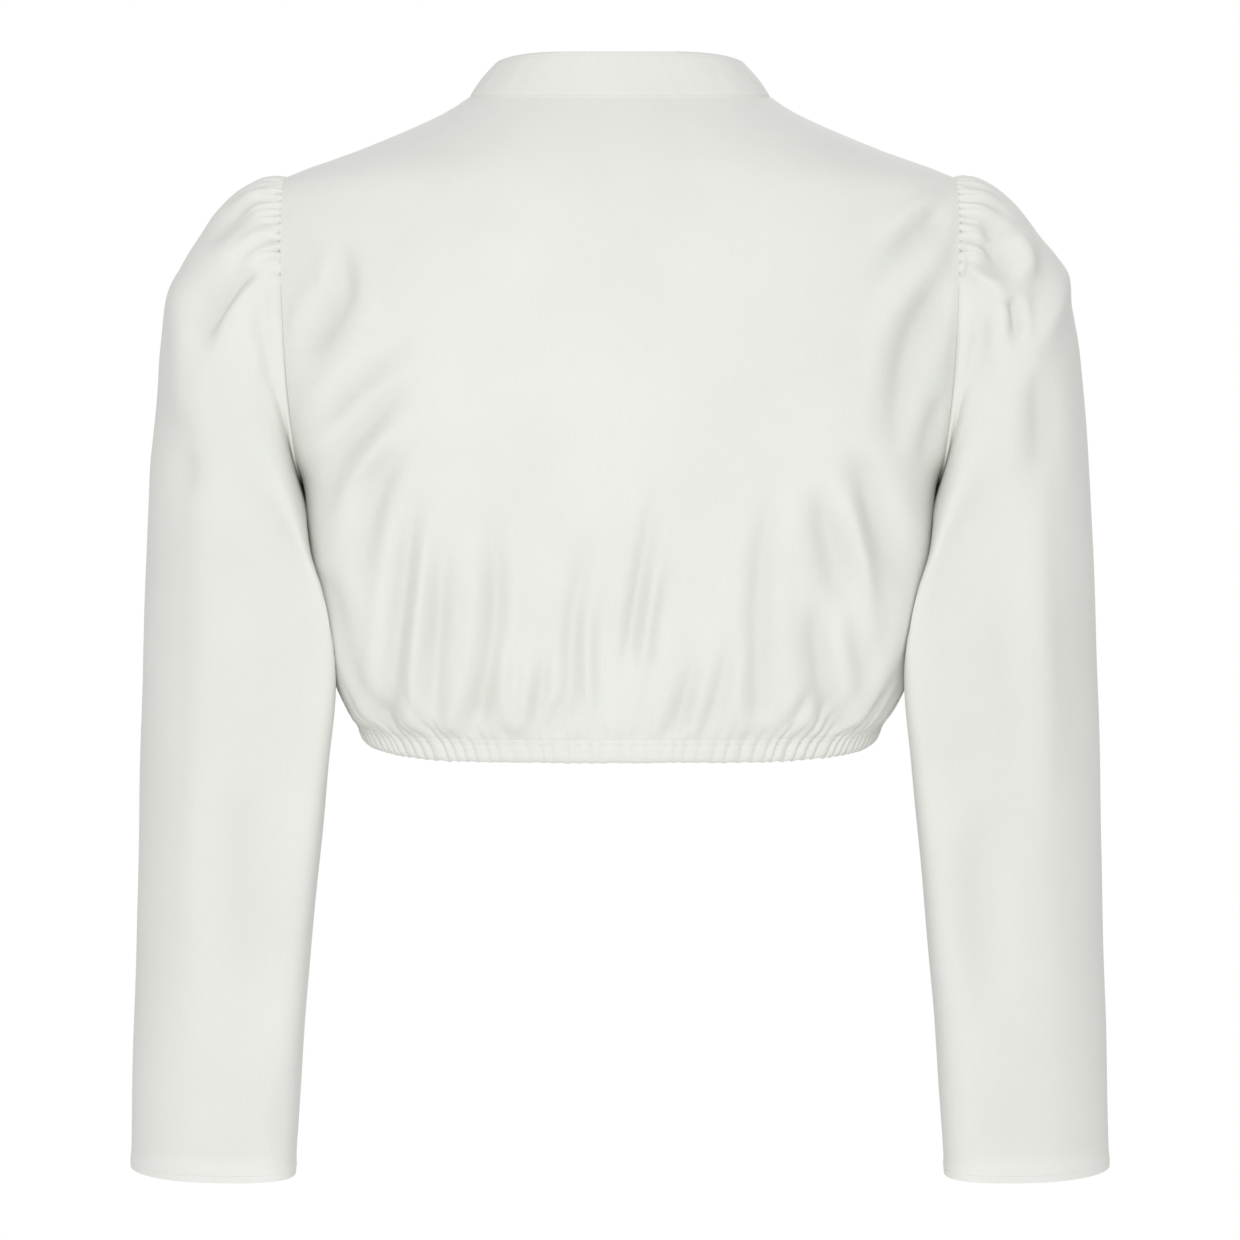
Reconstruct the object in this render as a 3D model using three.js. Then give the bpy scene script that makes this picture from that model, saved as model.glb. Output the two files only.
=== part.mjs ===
// A short dirndl blouse, filled out as worn: gathered hem, gathered sleeve heads, stand collar.
// Millimetres, +Z up. The front faces -Y, the back +Y and the wearer's left +X.
// The origin lies on the mid-plane at the height of the two neck points, where shoulders carry it.

import * as THREE from 'three';

// Cloth and seams
const WALL = 1.2;
const DOUBLED_WALL = 1.8;
const SEAM_GAP = 0.3;

// Heights of the main lines
const NECK_POINT = 0;
const SHOULDER_TIP = -46.7;
const UNDERARM = -220.6;
const HEM_SEAM = -363.6;
const HEM_EDGE = -376.4;
const HEM_RISE_AT_SIDE = 8;

// Neck, collar and front opening
const BACK_NECK_DROP = 8;
const FRONT_NECK_DROP = 62;
const NECK_DROP_ENDS = -170;
const COLLAR_BACK_HEIGHT = 28;
const COLLAR_SIDE_HEIGHT = 21.5;
const COLLAR_FRONT_HEIGHT = 22;
const COLLAR_LEAN = 17;
const COLLAR_BOW = 1.2;
const COLLAR_FRONT_UPRIGHT = 0.05;
const COLLAR_OPEN_HALF = 1.2;
const BAND_WIDTH = 24;
const BAND_LIFT = 1.9;
const BUTTON_COUNT = 5;
const BUTTON_RADIUS = 5.5;
const BUTTON_HEIGHT = 2.4;
const BUTTON_BELOW_NECK = 16;
const BUTTON_ABOVE_HEM = 12;

// Armholes
const ARMHOLE_TOP_X = 190;
const ARMHOLE_UNDERARM_X = 179;

// Steps across the pieces, and gathers
const BACK_STEPS = 40;
const FRONT_STEPS = 18;
const HEM_GATHERS = 124;
const HEM_GATHER_DEPTH = 0.8;
const CASING_LIFT = 0.4;
const SLEEVE_STEPS = 30;
const SLEEVE_ROWS = 12;
const BELOW_CAP_STEPS = 18;
const CAP_GATHERS = 33;
const CAP_GATHER_SPAN = THREE.MathUtils.degToRad(146);
const CAP_GATHER_DEPTH = 0.9;
const CAP_GATHER_ROWS = 2.4;

// Folds are placed as they are seen from this far behind or before the blouse, at this height.
const SEEN_FROM = 2200;
const SEEN_HEIGHT = -298;

const QUARTER = Math.PI / 2;

const COLOUR = 0xe9eae5;
const BUTTON_COLOUR = 0xf1f0ea;

// Half sizes of the body at each height: to the side, to the back and to the front. Beside the
// armhole the side is only the curve's own; the cloth ends before it, at the armhole seam.
const BODY_RINGS = [
  { height: -384.0, half: 142, back: 88, front: 98, square: 2.25 },
  { height: -366.6, half: 148, back: 90, front: 101, square: 2.25 },
  { height: -354.0, half: 154, back: 93, front: 106, square: 2.9 },
  { height: -333.0, half: 162.5, back: 96, front: 112, square: 3.4 },
  { height: -305.0, half: 167, back: 98, front: 118, square: 3.8 },
  { height: -278.0, half: 171.5, back: 100, front: 123, square: 3.9 },
  { height: -250.0, half: 175, back: 102, front: 126, square: 3.8 },
  { height: -220.6, half: 179, back: 103.5, front: 126, square: 3.45 },
  { height: -206.0, half: 185.5, back: 104, front: 124.5, square: 3.4 },
  { height: -190.0, half: 191.5, back: 104, front: 122, square: 3.1 },
  { height: -165.0, half: 200, back: 103.5, front: 117.5, square: 2.75 },
  { height: -130.0, half: 208.5, back: 101, front: 110, square: 2.32 },
  { height: -100.0, half: 212.5, back: 96.5, front: 102.5, square: 2.2 },
  { height: -80.0, half: 212.5, back: 92, front: 97.5, square: 2.15 },
  { height: -66.0, half: 209, back: 88, front: 93, square: 2.1 },
  { height: -56.0, half: 203, back: 84.8, front: 89.5, square: 2.08 },
  { height: -46.7, half: 190, back: 81.5, front: 86, square: 2.05 },
  { height: -32.5, half: 151.6, back: 75.5, front: 80, square: 2.0 },
  { height: -18.8, half: 119, back: 68, front: 73.5, square: 2.0 },
  { height: -9.0, half: 99, back: 61.5, front: 67.5, square: 2.0 },
  { height: 0.0, half: 86, back: 55, front: 62, square: 2.0 },
];
const NECK_RING = BODY_RINGS[BODY_RINGS.length - 1];

// The sleeve as rings, each from its outer point to its inner one, with its reach back and forward.
const SLEEVE_RINGS = [
  { outerX: 190.0, outerZ: -46.7, innerX: 179.0, innerZ: -220.6, back: 52, front: 57, ahead: 0 },
  { outerX: 204.0, outerZ: -47.6, innerX: 180.2, innerZ: -222.0, back: 57, front: 61, ahead: 1 },
  { outerX: 217.0, outerZ: -54.0, innerX: 179.8, innerZ: -225.0, back: 61, front: 64, ahead: 3 },
  { outerX: 229.0, outerZ: -65.0, innerX: 178.9, innerZ: -229.8, back: 64, front: 65, ahead: 3 },
  { outerX: 240.0, outerZ: -78.5, innerX: 177.8, innerZ: -236.0, back: 66, front: 65, ahead: 4 },
  { outerX: 249.5, outerZ: -95.0, innerX: 177.2, innerZ: -243.5, back: 67, front: 65, ahead: 5 },
  { outerX: 257.6, outerZ: -114.0, innerX: 176.8, innerZ: -252.5, back: 67, front: 65, ahead: 5 },
  { outerX: 262.4, outerZ: -138.0, innerX: 176.2, innerZ: -263.5, back: 66, front: 64, ahead: 5 },
  { outerX: 265.6, outerZ: -172.0, innerX: 174.4, innerZ: -278.0, back: 64, front: 62, ahead: 6 },
  { outerX: 268.2, outerZ: -212.0, innerX: 170.8, innerZ: -298.0, back: 62, front: 61, ahead: 7 },
  { outerX: 270.8, outerZ: -258.0, innerX: 166.5, innerZ: -322.0, back: 60, front: 59, ahead: 8 },
  { outerX: 273.3, outerZ: -312.0, innerX: 163.7, innerZ: -348.0, back: 57, front: 57, ahead: 9 },
  { outerX: 275.5, outerZ: -374.0, innerX: 167.0, innerZ: -386.0, back: 54, front: 54, ahead: 10 },
  { outerX: 277.5, outerZ: -441.0, innerX: 172.6, innerZ: -446.0, back: 50, front: 50, ahead: 11 },
  { outerX: 279.3, outerZ: -511.0, innerX: 178.6, innerZ: -512.0, back: 45, front: 45, ahead: 11 },
  { outerX: 280.7, outerZ: -571.0, innerX: 182.2, innerZ: -570.5, back: 40.5, front: 40.5, ahead: 11 },
  { outerX: 281.5, outerZ: -611.0, innerX: 184.2, innerZ: -610.0, back: 37.5, front: 37.5, ahead: 11 },
];
const SLEEVE_OUTER_SQUARE = 2.15;
const SLEEVE_INNER_SQUARE = 6.5;
const LAST_SLEEVE_RING = SLEEVE_RINGS.length - 1;
const CUFF_RINGS = 3;
const CUFF_BACK_DROP = 4.5;

// How much the sleeve's inner side is turned to the back, and how much it leans towards the body
// there and away from it at the front. All of it grows over the sleeve's first rings.
const SLEEVE_TURN = 0.3;
const SLEEVE_BACK_LEAN = 0.11;
const SLEEVE_FRONT_LEAN = 0.09;
const ROUND_RINGS = 3;
const TURNED_RINGS = 7;
const FLATTENED_RINGS = 9;

// Troughs (depth below 0) and ridges of the back, as seen from behind, +X to the left.
const BACK_FOLDS = [
  { fromX: 152, fromZ: -92, midX: 158, midZ: -119, toX: 172, toZ: -145, width: 12, depth: -3.0 },
  { fromX: 136, fromZ: -150, midX: 150, midZ: -172, toX: 164, toZ: -192, width: 12, depth: -3.2 },
  { fromX: 132, fromZ: -206, midX: 150, midZ: -257, toX: 151, toZ: -312, width: 10, depth: -3.2 },
  { fromX: 117, fromZ: -223, midX: 122, midZ: -290, toX: 131, toZ: -372, width: 8, depth: -3.4 },
  { fromX: 103, fromZ: -257, midX: 104, midZ: -310, toX: 106, toZ: -372, width: 7, depth: -2.6 },
  { fromX: 78, fromZ: -223, midX: 72, midZ: -286, toX: 80, toZ: -372, width: 8, depth: -3.2 },
  { fromX: 90, fromZ: -228, midX: 90, midZ: -295, toX: 93, toZ: -372, width: 7, depth: 2.2 },
  { fromX: 43, fromZ: -300, midX: 46, midZ: -335, toX: 51, toZ: -372, width: 7, depth: -2.8 },
  { fromX: 23, fromZ: -250, midX: 27, midZ: -300, toX: 31, toZ: -372, width: 7, depth: -2.8 },
  { fromX: 10, fromZ: -260, midX: 12, midZ: -310, toX: 14, toZ: -372, width: 7, depth: 1.8 },
  { fromX: -20, fromZ: -205, midX: -12, midZ: -278, toX: -4, toZ: -372, width: 8, depth: -2.8 },
  { fromX: -45, fromZ: -300, midX: -40, midZ: -335, toX: -34, toZ: -372, width: 7, depth: -2.6 },
  { fromX: -64, fromZ: -296, midX: -61, midZ: -330, toX: -57, toZ: -372, width: 7, depth: -2.6 },
  { fromX: -90, fromZ: -221, midX: -85, midZ: -290, toX: -80, toZ: -372, width: 8, depth: -3.4 },
  { fromX: -113, fromZ: -208, midX: -118, midZ: -280, toX: -120, toZ: -372, width: 9, depth: -3.0 },
  { fromX: -127, fromZ: -196, midX: -140, midZ: -232, toX: -154, toZ: -278, width: 10, depth: -3.0 },
  { fromX: -170, fromZ: -76, midX: -158, midZ: -86, toX: -140, toZ: -98, width: 11, depth: -2.6 },
  { fromX: -172, fromZ: -122, midX: -160, midZ: -150, toX: -152, toZ: -196, width: 12, depth: -3.2 },
];

// The same kinds of fold on each front, nearer the side (positive X is the panel's own side).
const FRONT_FOLDS = [
  { fromX: 166, fromZ: -92, midX: 156, midZ: -112, toX: 140, toZ: -132, width: 11, depth: -2.6 },
  { fromX: 166, fromZ: -148, midX: 152, midZ: -164, toX: 132, toZ: -182, width: 12, depth: -2.8 },
  { fromX: 140, fromZ: -262, midX: 138, midZ: -310, toX: 132, toZ: -372, width: 9, depth: -3.2 },
  { fromX: 114, fromZ: -240, midX: 112, midZ: -300, toX: 107, toZ: -372, width: 9, depth: -3.2 },
  { fromX: 88, fromZ: -262, midX: 86, midZ: -310, toX: 82, toZ: -372, width: 8, depth: -2.8 },
  { fromX: 62, fromZ: -246, midX: 60, midZ: -300, toX: 57, toZ: -372, width: 9, depth: -3.2 },
  { fromX: 34, fromZ: -276, midX: 34, midZ: -320, toX: 34, toZ: -372, width: 8, depth: -2.6 },
];

// Folds of the sleeve heads, on the back of each sleeve and, alike, on its front.
const SLEEVE_FOLDS = [
  { fromX: 192, fromZ: -108, midX: 215, midZ: -126, toX: 238, toZ: -150, width: 8, depth: 3.0 },
  { fromX: 222, fromZ: -82, midX: 222, midZ: -100, toX: 220, toZ: -118, width: 8, depth: -3.4 },
  { fromX: 206, fromZ: -58, midX: 226, midZ: -72, toX: 240, toZ: -90, width: 7, depth: -2.6 },
  { fromX: 198, fromZ: -126, midX: 204, midZ: -146, toX: 206, toZ: -176, width: 7, depth: -2.4 },
  { fromX: 214, fromZ: -400, midX: 222, midZ: -450, toX: 216, toZ: -510, width: 12, depth: -1.6 },
];

// Interpolates the columns of a table smoothly at a place along its rows, counted in rows.
function readTable(table, place, column) {
  const last = table.length - 1;
  const row = Math.min(Math.max(Math.floor(place), 0), last - 1);
  const share = Math.min(Math.max(place - row, 0), 1);
  const before = table[Math.max(row - 1, 0)][column];
  const low = table[row][column];
  const high = table[row + 1][column];
  const after = table[Math.min(row + 2, last)][column];
  const square = share * share;
  const cube = square * share;
  return 0.5 * (2 * low + (high - before) * share
    + (2 * before - 5 * low + 4 * high - after) * square
    + (3 * low - 3 * high + after - before) * cube);
}

// Interpolates a column of the body's table smoothly at a height.
function readBody(column, height) {
  const last = BODY_RINGS.length - 1;
  let row = 0;
  while (row < last - 1 && BODY_RINGS[row + 1].height < height) {
    row += 1;
  }
  const slope = (i) => {
    const held = Math.min(Math.max(i, 0), last - 1);
    const rise = BODY_RINGS[held + 1][column] - BODY_RINGS[held][column];
    return rise / (BODY_RINGS[held + 1].height - BODY_RINGS[held].height);
  };
  const step = BODY_RINGS[row + 1].height - BODY_RINGS[row].height;
  const share = Math.min(Math.max((height - BODY_RINGS[row].height) / step, 0), 1);
  const square = share * share;
  const cube = square * share;
  const lowSlope = (slope(row - 1) + slope(row)) / 2 * step;
  const highSlope = (slope(row) + slope(row + 1)) / 2 * step;
  return BODY_RINGS[row][column] * (2 * cube - 3 * square + 1) + lowSlope * (cube - 2 * square + share)
    + BODY_RINGS[row + 1][column] * (3 * square - 2 * cube) + highSlope * (cube - square);
}

function smoothStep(share) {
  const held = Math.min(Math.max(share, 0), 1);
  return held * held * (3 - 2 * held);
}

// How far up the armhole a height is, from 0 to 1.
function armholeShare(height) {
  return Math.min(Math.max((height - UNDERARM) / (SHOULDER_TIP - UNDERARM), 0), 1);
}

// How far out the armhole's edge is at a height.
function armholeX(height) {
  const bend = 2.2;
  const fullness = 1 - Math.pow(1 - armholeShare(height), bend);
  return ARMHOLE_UNDERARM_X + (ARMHOLE_TOP_X - ARMHOLE_UNDERARM_X) * fullness;
}

// The body's half sizes at a height, and the turn at which its cloth ends: 0 at the side and
// shoulder seams, more beside the armhole. facing is 1 for the back and -1 for the front.
function bodyRing(facing, height) {
  const half = readBody('half', height);
  const depth = readBody(facing > 0 ? 'back' : 'front', height);
  const square = readBody('square', height);
  let edge = 0;
  let reach = 0;
  if (height > UNDERARM && height < SHOULDER_TIP) {
    const filled = Math.pow(Math.min(armholeX(height) / half, 1), square);
    edge = Math.atan(Math.pow((1 - filled) / filled, 1 / square));
    reach = depth * Math.pow(1 - filled, 1 / square);
  }
  return { half, depth, square, edge, reach };
}

// A point of the body. turn is 0 at the +X side, a quarter turn at the middle, half a turn at -X.
function bodyPoint(facing, turn, height) {
  const ring = bodyRing(facing, height);
  const cos = Math.cos(turn);
  const sin = Math.sin(turn);
  const sum = Math.pow(Math.abs(cos), ring.square) + Math.pow(Math.abs(sin), ring.square);
  const scale = Math.pow(sum, -1 / ring.square);
  const fromEdge = Math.min(turn, Math.PI - turn) - ring.edge;
  const share = Math.min(Math.max(fromEdge / (QUARTER - ring.edge), 0), 1);
  const atEdge = Math.pow(1 - share, 4);
  const inward = share + ring.edge / QUARTER * (1 - share - atEdge);
  const neckShare = Math.max((height - NECK_DROP_ENDS) / (NECK_POINT - NECK_DROP_ENDS), 0);
  const drop = facing > 0 ? BACK_NECK_DROP : FRONT_NECK_DROP;
  const hemFade = 60;
  const hemShare = smoothStep(1 - (height - HEM_EDGE) / hemFade);
  const rise = HEM_RISE_AT_SIDE * Math.pow(Math.abs(cos), 6) * hemShare;
  return new THREE.Vector3(
    ring.half * cos * scale,
    facing * (ring.depth * sin * scale + SEAM_GAP / 2),
    height + rise - drop * Math.sin(inward * QUARTER) * neckShare,
  );
}

// The unit vector out of a surface, from the surface's own points either side of a place.
function outward(surface, across, along, acrossStep, alongStep, sign) {
  const right = surface(across + acrossStep, along);
  const left = surface(across - acrossStep, along);
  const up = surface(across, along + alongStep);
  const down = surface(across, along - alongStep);
  const normal = right.sub(left).cross(up.sub(down));
  return normal.multiplyScalar(sign / normal.length());
}

// The share of a fold's depth that a point gets from one piece of the fold's line.
function segmentLift(x, z, fold, startX, startZ, endX, endZ) {
  const runX = endX - startX;
  const runZ = endZ - startZ;
  const share = ((x - startX) * runX + (z - startZ) * runZ) / (runX * runX + runZ * runZ);
  const held = Math.min(Math.max(share, 0), 1);
  const awayX = x - startX - held * runX;
  const awayZ = z - startZ - held * runZ;
  const away = Math.sqrt(awayX * awayX + awayZ * awayZ) / fold.width;
  return Math.exp(-away * away);
}

function foldLift(folds, x, z) {
  let lift = 0;
  for (const fold of folds) {
    const upper = segmentLift(x, z, fold, fold.fromX, fold.fromZ, fold.midX, fold.midZ);
    const lower = segmentLift(x, z, fold, fold.midX, fold.midZ, fold.toX, fold.toZ);
    lift += fold.depth * Math.max(upper, lower);
  }
  return lift;
}

// Where a point is seen from straight behind or before the blouse.
function seenAt(point) {
  const scale = SEEN_FROM / (SEEN_FROM - Math.abs(point.y));
  return { x: point.x * scale, z: SEEN_HEIGHT + (point.z - SEEN_HEIGHT) * scale };
}

// Builds a wall of cloth as one closed solid. rows lists, from one edge to the other, the places
// along and, for each, the places across. wallAt gives the outer and the inner point of a place.
// A closed sheet runs round, and an open one ends in rims at both sides.
function clothSolid(rows, wallAt, closed) {
  const outer = [];
  const inner = [];
  const points = [];
  for (const row of rows) {
    const outerRow = [];
    const innerRow = [];
    for (const across of row.across) {
      const wall = wallAt(across, row.along);
      outerRow.push(points.push(wall.outer) - 1);
      innerRow.push(points.push(wall.inner) - 1);
    }
    outer.push(outerRow);
    inner.push(innerRow);
  }
  const faces = [];
  const quad = (a, b, c, d) => {
    faces.push([a, b, c], [a, c, d]);
  };
  for (let r = 0; r < rows.length - 1; r += 1) {
    zipRows(faces, rows[r], rows[r + 1], outer[r], outer[r + 1], closed, false);
    zipRows(faces, rows[r], rows[r + 1], inner[r], inner[r + 1], closed, true);
    if (!closed) {
      const end = outer[r].length - 1;
      const nextEnd = outer[r + 1].length - 1;
      quad(outer[r][0], outer[r + 1][0], inner[r + 1][0], inner[r][0]);
      quad(outer[r + 1][nextEnd], outer[r][end], inner[r][end], inner[r + 1][nextEnd]);
    }
  }
  const top = rows.length - 1;
  const rimSteps = (row) => (closed ? row.length : row.length - 1);
  for (let i = 0; i < rimSteps(outer[0]); i += 1) {
    const j = (i + 1) % outer[0].length;
    quad(outer[0][j], outer[0][i], inner[0][i], inner[0][j]);
  }
  for (let i = 0; i < rimSteps(outer[top]); i += 1) {
    const j = (i + 1) % outer[top].length;
    quad(outer[top][i], outer[top][j], inner[top][j], inner[top][i]);
  }
  return solidGeometry(points, faces);
}

// Joins two rows of points by triangles, also where one row has more points than the other.
function zipRows(faces, lowRow, highRow, low, high, closed, flipped) {
  const add = (a, b, c) => faces.push(flipped ? [a, c, b] : [a, b, c]);
  const lowSteps = closed ? low.length : low.length - 1;
  const highSteps = closed ? high.length : high.length - 1;
  const turn = 2 * Math.PI;
  const placeOf = (row, i) => (
    i < row.across.length ? row.across[i] : row.across[i - row.across.length] + turn
  );
  let i = 0;
  let j = 0;
  while (i < lowSteps || j < highSteps) {
    const lowNext = i < lowSteps ? placeOf(lowRow, i + 1) : Infinity;
    const highNext = j < highSteps ? placeOf(highRow, j + 1) : Infinity;
    const here = low[i % low.length];
    const above = high[j % high.length];
    if (lowNext <= highNext) {
      add(here, low[(i + 1) % low.length], above);
      i += 1;
    } else {
      add(here, high[(j + 1) % high.length], above);
      j += 1;
    }
  }
}

// An indexed geometry with its faces turned so that they point out of the solid.
function solidGeometry(points, faces) {
  let volume = 0;
  for (const [a, b, c] of faces) {
    volume += points[a].dot(new THREE.Vector3().crossVectors(points[b], points[c]));
  }
  const index = faces.flatMap(([a, b, c]) => (volume > 0 ? [a, b, c] : [a, c, b]));
  const geometry = new THREE.BufferGeometry();
  geometry.setFromPoints(points);
  geometry.setIndex(index);
  geometry.computeVertexNormals();
  return geometry;
}

function spread(from, to, steps) {
  return Array.from({ length: steps + 1 }, (_, i) => from + (to - from) * i / steps);
}

// Heights of a panel's rows: even below the underarm and over the shoulder, and closer together
// at the top and bottom of the armhole, where its edge runs level.
function panelHeights(below, beside, above) {
  const lower = spread(HEM_SEAM, UNDERARM, below).slice(0, -1);
  const middle = spread(0, Math.PI, beside).slice(0, -1).map(
    (angle) => UNDERARM + (SHOULDER_TIP - UNDERARM) * (1 - Math.cos(angle)) / 2,
  );
  const upper = spread(SHOULDER_TIP, NECK_POINT, above);
  return [...lower, ...middle, ...upper];
}

// How far a point is from the panel's sewn edges and from the casing, as a share that is 1 well
// inside. Folds flatten out towards both.
function insideShare(facing, turn, height) {
  const { edge } = bodyRing(facing, height);
  const sideFade = 0.16;
  const hemFade = 20;
  const fromSide = smoothStep((Math.min(turn, Math.PI - turn) - edge) / sideFade);
  return fromSide * (0.2 + 0.8 * smoothStep((height - HEM_SEAM) / hemFade));
}

// The outer and inner point of the body's cloth at a place.
function bodyWall(facing, turn, height, folds, mirror) {
  const surface = (across, along) => bodyPoint(facing, across, along);
  const base = surface(turn, height);
  const normal = outward(surface, turn, height, 0.01, 0.5, facing);
  if (turn < 0.011 || turn > Math.PI - 0.011) {
    normal.y = 0;
    normal.normalize();
  }
  const seen = seenAt(base);
  const lift = foldLift(folds, seen.x * mirror, seen.z) * insideShare(facing, turn, height);
  return {
    outer: base.clone().addScaledVector(normal, lift),
    inner: base.clone().addScaledVector(normal, lift - WALL),
  };
}

// A body panel between two turns; each place across is a share of the way between its edges.
function panelSolid(facing, heights, steps, fromTurn, toTurn, folds, mirror) {
  const shares = spread(0, 1, steps);
  const rows = heights.map((height) => ({ along: height, across: shares }));
  const wallAt = (share, height) => {
    const { edge } = bodyRing(facing, height);
    const start = fromTurn === 0 ? edge : fromTurn;
    const end = toTurn === Math.PI ? Math.PI - edge : toTurn;
    return bodyWall(facing, start + (end - start) * share, height, folds, mirror);
  };
  return clothSolid(rows, wallAt, false);
}

function backPanel() {
  return panelSolid(1, panelHeights(8, 9, 4), BACK_STEPS, 0, Math.PI, BACK_FOLDS, 1);
}

// The fronts stop just short of the centre line, under the button band.
function frontPanel(sideSign) {
  const frontReach = 100;
  const gapTurn = SEAM_GAP / 2 / frontReach;
  const heights = panelHeights(7, 8, 4);
  if (sideSign > 0) {
    return panelSolid(-1, heights, FRONT_STEPS, 0, QUARTER - gapTurn, FRONT_FOLDS, 1);
  }
  return panelSolid(-1, heights, FRONT_STEPS, QUARTER + gapTurn, Math.PI, FRONT_FOLDS, -1);
}

// A place round the whole body as one turn: the back from 0 to half a turn, then the front.
function roundPoint(angle, height) {
  const full = 2 * Math.PI;
  const held = ((angle % full) + full) % full;
  if (held <= Math.PI) {
    return bodyPoint(1, held, height);
  }
  return bodyPoint(-1, full - held, height);
}

// The casing starts and ends at the centre front and waves in and out at every gather.
function hemCasing() {
  const start = -QUARTER;
  const gapTurn = 0.003;
  const turns = spread(start + gapTurn, start + 2 * Math.PI - gapTurn, HEM_GATHERS * 2);
  const heights = [HEM_EDGE, HEM_SEAM - SEAM_GAP];
  const rows = heights.map((height) => ({ along: height, across: turns }));
  const wallAt = (turn, height) => {
    const base = roundPoint(turn, height);
    const normal = new THREE.Vector3(base.x / 2, base.y, 0).normalize();
    const step = Math.round((turn - turns[0]) / (turns[1] - turns[0]));
    const wave = step % 2 === 0 ? HEM_GATHER_DEPTH : -HEM_GATHER_DEPTH;
    const lift = wave + CASING_LIFT;
    return {
      outer: base.clone().addScaledVector(normal, lift),
      inner: base.clone().addScaledVector(normal, lift - DOUBLED_WALL),
    };
  };
  return clothSolid(rows, wallAt, false);
}

// The collar stands on the neck seam and leans in as it rises.
function collarSolid() {
  const frontTurn = QUARTER - COLLAR_OPEN_HALF / NECK_RING.front;
  const turns = [
    ...spread(-frontTurn, 0, FRONT_STEPS),
    ...spread(0, Math.PI, BACK_STEPS).slice(1, -1),
    ...spread(Math.PI, Math.PI + frontTurn, FRONT_STEPS),
  ];
  const rows = spread(0, 1, 2).map((share) => ({ along: share, across: turns }));
  const surface = (turn, share) => {
    const foot = roundPoint(turn, NECK_POINT);
    const lean = 1 - COLLAR_LEAN * share / NECK_RING.half;
    const bow = COLLAR_BOW * Math.sin(share * Math.PI);
    const frontShare = smoothStep(-foot.y / NECK_RING.front);
    const backShare = smoothStep(foot.y / NECK_RING.back);
    const height = COLLAR_SIDE_HEIGHT + (COLLAR_BACK_HEIGHT - COLLAR_SIDE_HEIGHT) * backShare
      + (COLLAR_FRONT_HEIGHT - COLLAR_SIDE_HEIGHT) * frontShare;
    return new THREE.Vector3(
      foot.x * (lean + bow / NECK_RING.half),
      foot.y * (lean + COLLAR_FRONT_UPRIGHT * share * frontShare),
      foot.z + SEAM_GAP + height * share,
    );
  };
  const wallAt = (turn, share) => {
    const base = surface(turn, share);
    const normal = new THREE.Vector3(base.x / 2, base.y, 0).normalize();
    return { outer: base, inner: base.clone().addScaledVector(normal, -DOUBLED_WALL) };
  };
  return clothSolid(rows, wallAt, false);
}

// A point of a sleeve on the +X side. angle is 0 at the outer side and a quarter turn at the back.
function sleevePoint(angle, place) {
  const read = (column) => readTable(SLEEVE_RINGS, place, column);
  const outerX = read('outerX');
  const outerZ = read('outerZ');
  const innerX = read('innerX');
  const innerZ = read('innerZ');
  const cos = Math.cos(angle);
  const sin = Math.sin(angle);
  const nearBody = smoothStep(0.5 - cos);
  const flattened = nearBody * smoothStep(place / FLATTENED_RINGS);
  const flatness = SLEEVE_OUTER_SQUARE + (SLEEVE_INNER_SQUARE - SLEEVE_OUTER_SQUARE) * flattened;
  const square = 2 + (flatness - 2) * smoothStep(place / ROUND_RINGS);
  const sum = Math.pow(Math.abs(cos), square) + Math.pow(Math.abs(sin), square);
  const scale = Math.pow(sum, -1 / square);
  const reach = read(sin > 0 ? 'back' : 'front');
  const cuffShare = smoothStep((place - LAST_SLEEVE_RING + CUFF_RINGS) / CUFF_RINGS);
  const across = (outerX - innerX) / 2 * cos * scale;
  const turnShare = smoothStep(place / TURNED_RINGS);
  const turned = SLEEVE_TURN * across * turnShare;
  const out = reach * sin * scale;
  const lean = out > 0 ? SLEEVE_BACK_LEAN : SLEEVE_FRONT_LEAN;
  const leaned = lean * out * nearBody * turnShare;
  const point = new THREE.Vector3(
    (outerX + innerX) / 2 + across - leaned,
    out - read('ahead') - turned,
    (outerZ + innerZ) / 2 + (outerZ - innerZ) / 2 * cos * scale - CUFF_BACK_DROP * sin * cuffShare,
  );
  const seamZ = UNDERARM + (SHOULDER_TIP - UNDERARM) * (1 + cos) / 2;
  const straightX = ARMHOLE_UNDERARM_X + (ARMHOLE_TOP_X - ARMHOLE_UNDERARM_X) * (1 + cos) / 2;
  const seamFade = 1 - smoothStep(place / ROUND_RINGS);
  const facing = sin > 0 ? 1 : -1;
  const seamReach = bodyRing(facing, seamZ).reach * facing;
  const ringReach = (facing > 0 ? SLEEVE_RINGS[0].back : SLEEVE_RINGS[0].front) * sin;
  point.x += (armholeX(seamZ) - straightX) * seamFade + SEAM_GAP;
  point.y += (seamReach - ringReach) * seamFade;
  return point;
}

// The gathers of the sleeve head, deepest at the armhole seam.
function capGather(angle, place) {
  const fade = 1 - smoothStep(place / CAP_GATHER_ROWS);
  const held = Math.abs(angle) < CAP_GATHER_SPAN / 2 + 0.001;
  return held ? CAP_GATHER_DEPTH * fade * Math.cos(angle / capPitch() * 2 * Math.PI) : 0;
}

function capPitch() {
  return CAP_GATHER_SPAN / CAP_GATHERS;
}

// Angles round the sleeve: two for each gather over the head, and even ones below it.
function capAngles() {
  const halfSpan = CAP_GATHER_SPAN / 2;
  const below = spread(halfSpan, 2 * Math.PI - halfSpan, BELOW_CAP_STEPS).slice(1, -1);
  return [...spread(-halfSpan, halfSpan, CAP_GATHERS * 2), ...below];
}

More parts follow.
